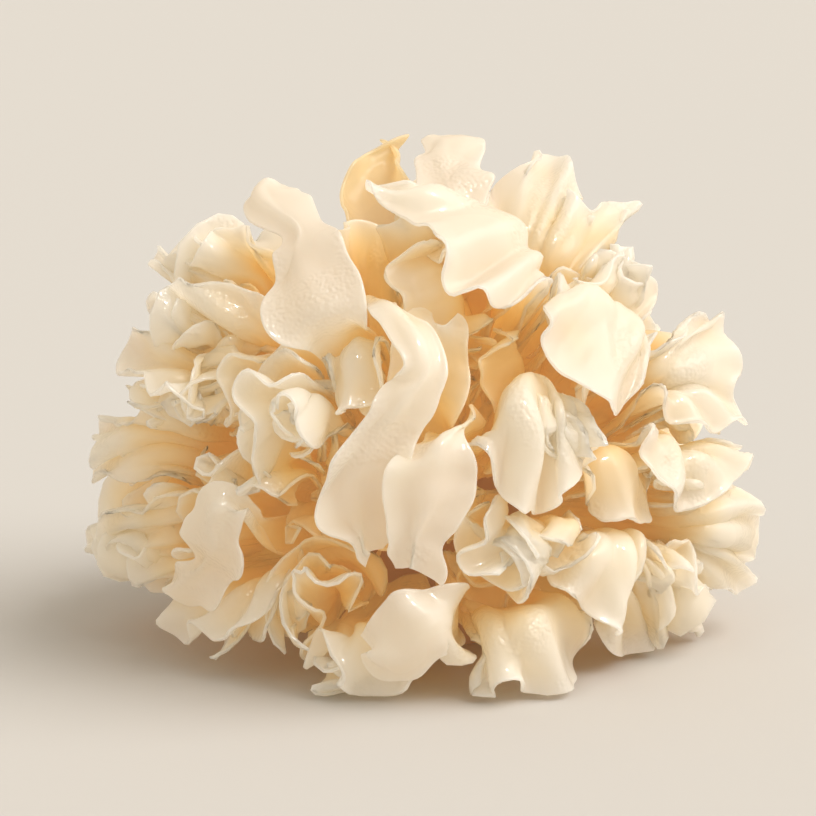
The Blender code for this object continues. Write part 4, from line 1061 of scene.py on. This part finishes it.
# Painted amber shade of the folds: the depth inside the outer shell where it starts, the depth over which it grows,
# its most, and how much it hides the painted rim light.
SHADE_AMBER_FROM = 2.0
SHADE_AMBER_OVER = 18.0
SHADE_AMBER_MOST = 1.3
SHADE_HIDES_RIM_LIGHT = 0.8
# Widths of the painted light along the free edges.
RIM_LIGHT_WIDTHS = (0.5, 4)


def stops(length, both):
    """Parameters along a sheet, 0 to 1, close together at its free edges: both ends, or the last one alone."""
    start = EDGE_STOPS if both else EDGE_STOPS[:1]
    inner = max(3, round((length - start[-1] - EDGE_STOPS[-1]) / FRILL_SPACING))
    middle = np.linspace(start[-1], length - EDGE_STOPS[-1], inner + 1)[1:-1]
    return np.concatenate([start, middle, length - EDGE_STOPS[::-1]]) / length


def creased(net, rng):
    """The sheet with fine creases: low waves across it that run along it and wander, fading out at the root."""
    run = run_of(net, 0)[:, int(0.7 * net.shape[1])][:, None]
    v = np.linspace(0, 1, net.shape[1])[None, :]
    lift = 0
    for length, height in CREASES:
        drift = 0.8 * length * np.sin(2 * math.pi * (0.9 * v + rng.uniform()))
        lift = lift + wave(run + drift, rng, length, height) * (0.6 + 0.4 * np.sin(9 * v + rng.uniform(0, 6)))
    return net + normals(net) * (lift * np.clip(2 * v, 0, 1))[..., None]


def around_heart(points):
    """Distance of the points from the dome's heart, and their place on a map of directions, round and up."""
    arm = points - HEART
    far = np.linalg.norm(arm, axis=-1)
    round_about = (np.arctan2(arm[..., 1], arm[..., 0]) / (2 * math.pi) % 1) * SKY_CELLS[0]
    up = (np.arcsin(np.clip(arm[..., 2] / far, -1, 1)) / math.pi + 0.5) * SKY_CELLS[1]
    return far, round_about, up


def outer_shell(cloud):
    """Map of how far the fronds reach in every direction: the farthest point in each cell, filled in and blurred."""
    far, round_about, up = around_heart(cloud)
    shell = np.zeros(SKY_CELLS)
    cell = round_about.astype(int) % SKY_CELLS[0], np.minimum(up.astype(int), SKY_CELLS[1] - 1)
    np.maximum.at(shell, cell, far)
    for turn in range(SPREADS + BLURS):
        wide = np.pad(np.pad(shell, ((1, 1), (0, 0)), mode="wrap"), ((0, 0), (1, 1)), mode="edge")
        near = [wide[1 + a:1 + a + SKY_CELLS[0], 1 + b:1 + b + SKY_CELLS[1]] for a, b in NEIGHBOURS]
        shell = np.maximum(shell, np.max(near, axis=0)) if turn < SPREADS else (2 * shell + sum(near)) / 6
    return shell


def depth_in(points, shell):
    """How far the points lie inside the outer shell, in millimetres, along their direction from the heart."""
    far, round_about, up = around_heart(points)
    place = round_about - 0.5, np.clip(up - 0.5, 0, SKY_CELLS[1] - 1.001)
    low = [np.floor(p).astype(int) for p in place]
    share = [p - f for p, f in zip(place, low)]
    reach = 0
    for a in (0, 1):
        for b in (0, 1):
            weight = np.abs(1 - a - share[0]) * np.abs(1 - b - share[1])
            reach = reach + weight * shell[(low[0] + a) % SKY_CELLS[0], low[1] + b]
    return reach - far


# The outer shell of all the rims: depth inside it sets the painted amber shade of the folds.
shell = outer_shell(np.concatenate([s[:, -3:].reshape(-1, 3) for s in opened_sheets]))


def sheet(net, rng):
    """A closed thin sheet about a grid, rounded off at every edge, with how deep and how near a rim each point is."""
    across, length = (run_of(net, axis) for axis in (0, 1))
    us = stops(across[-1].mean(), True)
    vs = stops(length[:, -1].mean(), False)
    fine = creased(resampled(net, us, vs), rng)
    across, length = run_of(fine, 0), run_of(fine, 1)
    free = np.minimum(np.minimum(across, across[-1:] - across), length[:, -1:] - length)
    edge = np.minimum(free, length)
    thick = HALF_THICK * np.sqrt(1 - (1 - np.clip(edge / HALF_THICK, 0, 1)) ** 2)
    thick = thick * (1 + BEAD * np.exp(-((free / BEAD_WIDE) ** 2)))
    off = normals(fine) * thick[..., None]
    columns, rows = fine.shape[:2]
    front = np.arange(columns * rows).reshape(columns, rows)
    back = front.copy()
    back[1:-1, 1:-1] = columns * rows + np.arange((columns - 2) * (rows - 2)).reshape(columns - 2, rows - 2)
    points = np.concatenate([(fine + off).reshape(-1, 3), (fine - off)[1:-1, 1:-1].reshape(-1, 3)])
    quads = np.concatenate([
        np.stack([front[:-1, :-1], front[1:, :-1], front[1:, 1:], front[:-1, 1:]], axis=-1).reshape(-1, 4),
        np.stack([back[:-1, :-1], back[:-1, 1:], back[1:, 1:], back[1:, :-1]], axis=-1).reshape(-1, 4),
    ])
    # Painted shade: amber grows with depth inside the outer shell.
    deep = np.clip((depth_in(fine, shell) - SHADE_AMBER_FROM) / SHADE_AMBER_OVER, 0, SHADE_AMBER_MOST)
    # Painted light: pale along every free edge, as if lit through the thin rim, faded where the painted shade is
    # deep.
    pale = sum(0.5 * np.exp(-free / width) for width in RIM_LIGHT_WIDTHS)
    rim = pale * (1 - SHADE_HIDES_RIM_LIGHT * np.minimum(deep, 1))
    values = [np.concatenate([field.ravel(), field[1:-1, 1:-1].ravel()]) for field in (deep, rim)]
    return points, quads, values


def joined(sheets):
    """Points, faces and values of several sheets as those of one mesh."""
    points, quads, values = zip(*sheets)
    starts = np.cumsum([0] + [len(own) for own in points[:-1]])
    quads = np.concatenate([own + start for own, start in zip(quads, starts)])
    deep, rim = (np.concatenate(fields) for fields in zip(*values))
    return np.concatenate(points), quads, {"deep": deep, "rim": rim}


# Frond colours: a pale rim for painted light, the milky flesh, and amber for the painted shade of the folds.
frond_jelly = jelly("frond_jelly", (0.985, 0.972, 0.945), (0.975, 0.948, 0.89), (0.985, 0.81, 0.40), 0.25, 0.32)
tan_jelly = jelly("tan_jelly", (0.95, 0.86, 0.66), (0.93, 0.80, 0.55), (0.90, 0.66, 0.34), 0.1, 0.05)
no_triangles = np.zeros((0, 3), int)
for number, name in enumerate(names):
    own = [number] + [len(names) + k for k, parent in enumerate(parents) if parent == number]
    rng = np.random.default_rng(CREASE_SEED + number)
    points, quads, values = joined([sheet(opened_sheets[k], rng) for k in own])
    frond = jelly_piece(f"{name}_frond", points, quads, no_triangles, values)
    frond.data.materials.append(tan_jelly if name == "tan_leaf" else frond_jelly)
    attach(frond, "root")
    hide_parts(name)

# Floor, light and camera
# A pale floor that runs on out of sight, one large soft light high on the right, a warm, even sky, and a small light
# that only makes glints. The camera stands in front, ten degrees above level, as the photo's does.
FLOOR_REACH = 30
FLOOR_COLOUR = (0.565, 0.545, 0.52, 1)
FLOOR_ROUGHNESS = 0.9
SKY_COLOUR = (0.91, 0.84, 0.72, 1)
SKY_LIGHT = 0.8
EYE_LENS = 105
EYE_SENSOR = 36
DIFFUSE_BOUNCES = 6
THROUGH_BOUNCES = 8

floor_mesh = bpy.data.meshes.new("floor")
floor_corners = [(FLOOR_REACH * x, FLOOR_REACH * y, 0) for x, y in ((-1, -1), (1, -1), (1, 1), (-1, 1))]
floor_mesh.from_pydata(floor_corners, [], [(0, 1, 2, 3)])
floor = placed("floor", floor_mesh)
pale = bpy.data.materials.new("pale_floor")
pale.use_nodes = True
finish = {"Base Color": FLOOR_COLOUR, "Roughness": FLOOR_ROUGHNESS}
fed(pale.node_tree, pale.node_tree.nodes["Principled BSDF"], finish)
floor_mesh.materials.append(pale)

sky = bpy.data.worlds.new("soft_sky")
bpy.context.scene.world = sky
sky.use_nodes = True
fed(sky.node_tree, sky.node_tree.nodes["Background"], {"Color": SKY_COLOUR, "Strength": SKY_LIGHT})


def lamp(name, azimuth, height, softness, strength, colour):
    """A sun whose light comes from an azimuth, where 0 is the front and 90 the right, and a height above level."""
    light = bpy.data.lights.new(name, "SUN")
    light.energy = strength
    light.angle = math.radians(softness)
    light.color = colour
    made = placed(name, light)
    made.rotation_euler = (math.radians(90 - height), 0, math.radians(azimuth))
    return made


lamp("soft_key", azimuth=75, height=46, softness=50, strength=2.65, colour=(1.0, 0.975, 0.95))
glint = lamp("small_glint", azimuth=30, height=52, softness=4, strength=3.0, colour=(1.0, 0.99, 0.97))
glint.visible_diffuse = False
glint.visible_transmission = False

eye_data = bpy.data.cameras.new("eye")
eye_data.lens = EYE_LENS
eye_data.sensor_width = EYE_SENSOR
eye = placed("eye", eye_data)
eye_distance = VIEW_DISTANCE * MM
eye.location = (
    VIEW_ACROSS * MM, -eye_distance * math.cos(VIEW_TILT), VIEW_HEIGHT * MM + eye_distance * math.sin(VIEW_TILT)
)
eye.rotation_euler = (math.radians(90) - VIEW_TILT, 0, 0)
bpy.context.scene.camera = eye
bpy.context.scene.view_settings.view_transform = "Standard"

# Light is followed through enough layers of jelly for the folds to stay warm.
bpy.context.scene.cycles.diffuse_bounces = DIFFUSE_BOUNCES
bpy.context.scene.cycles.transmission_bounces = THROUGH_BOUNCES
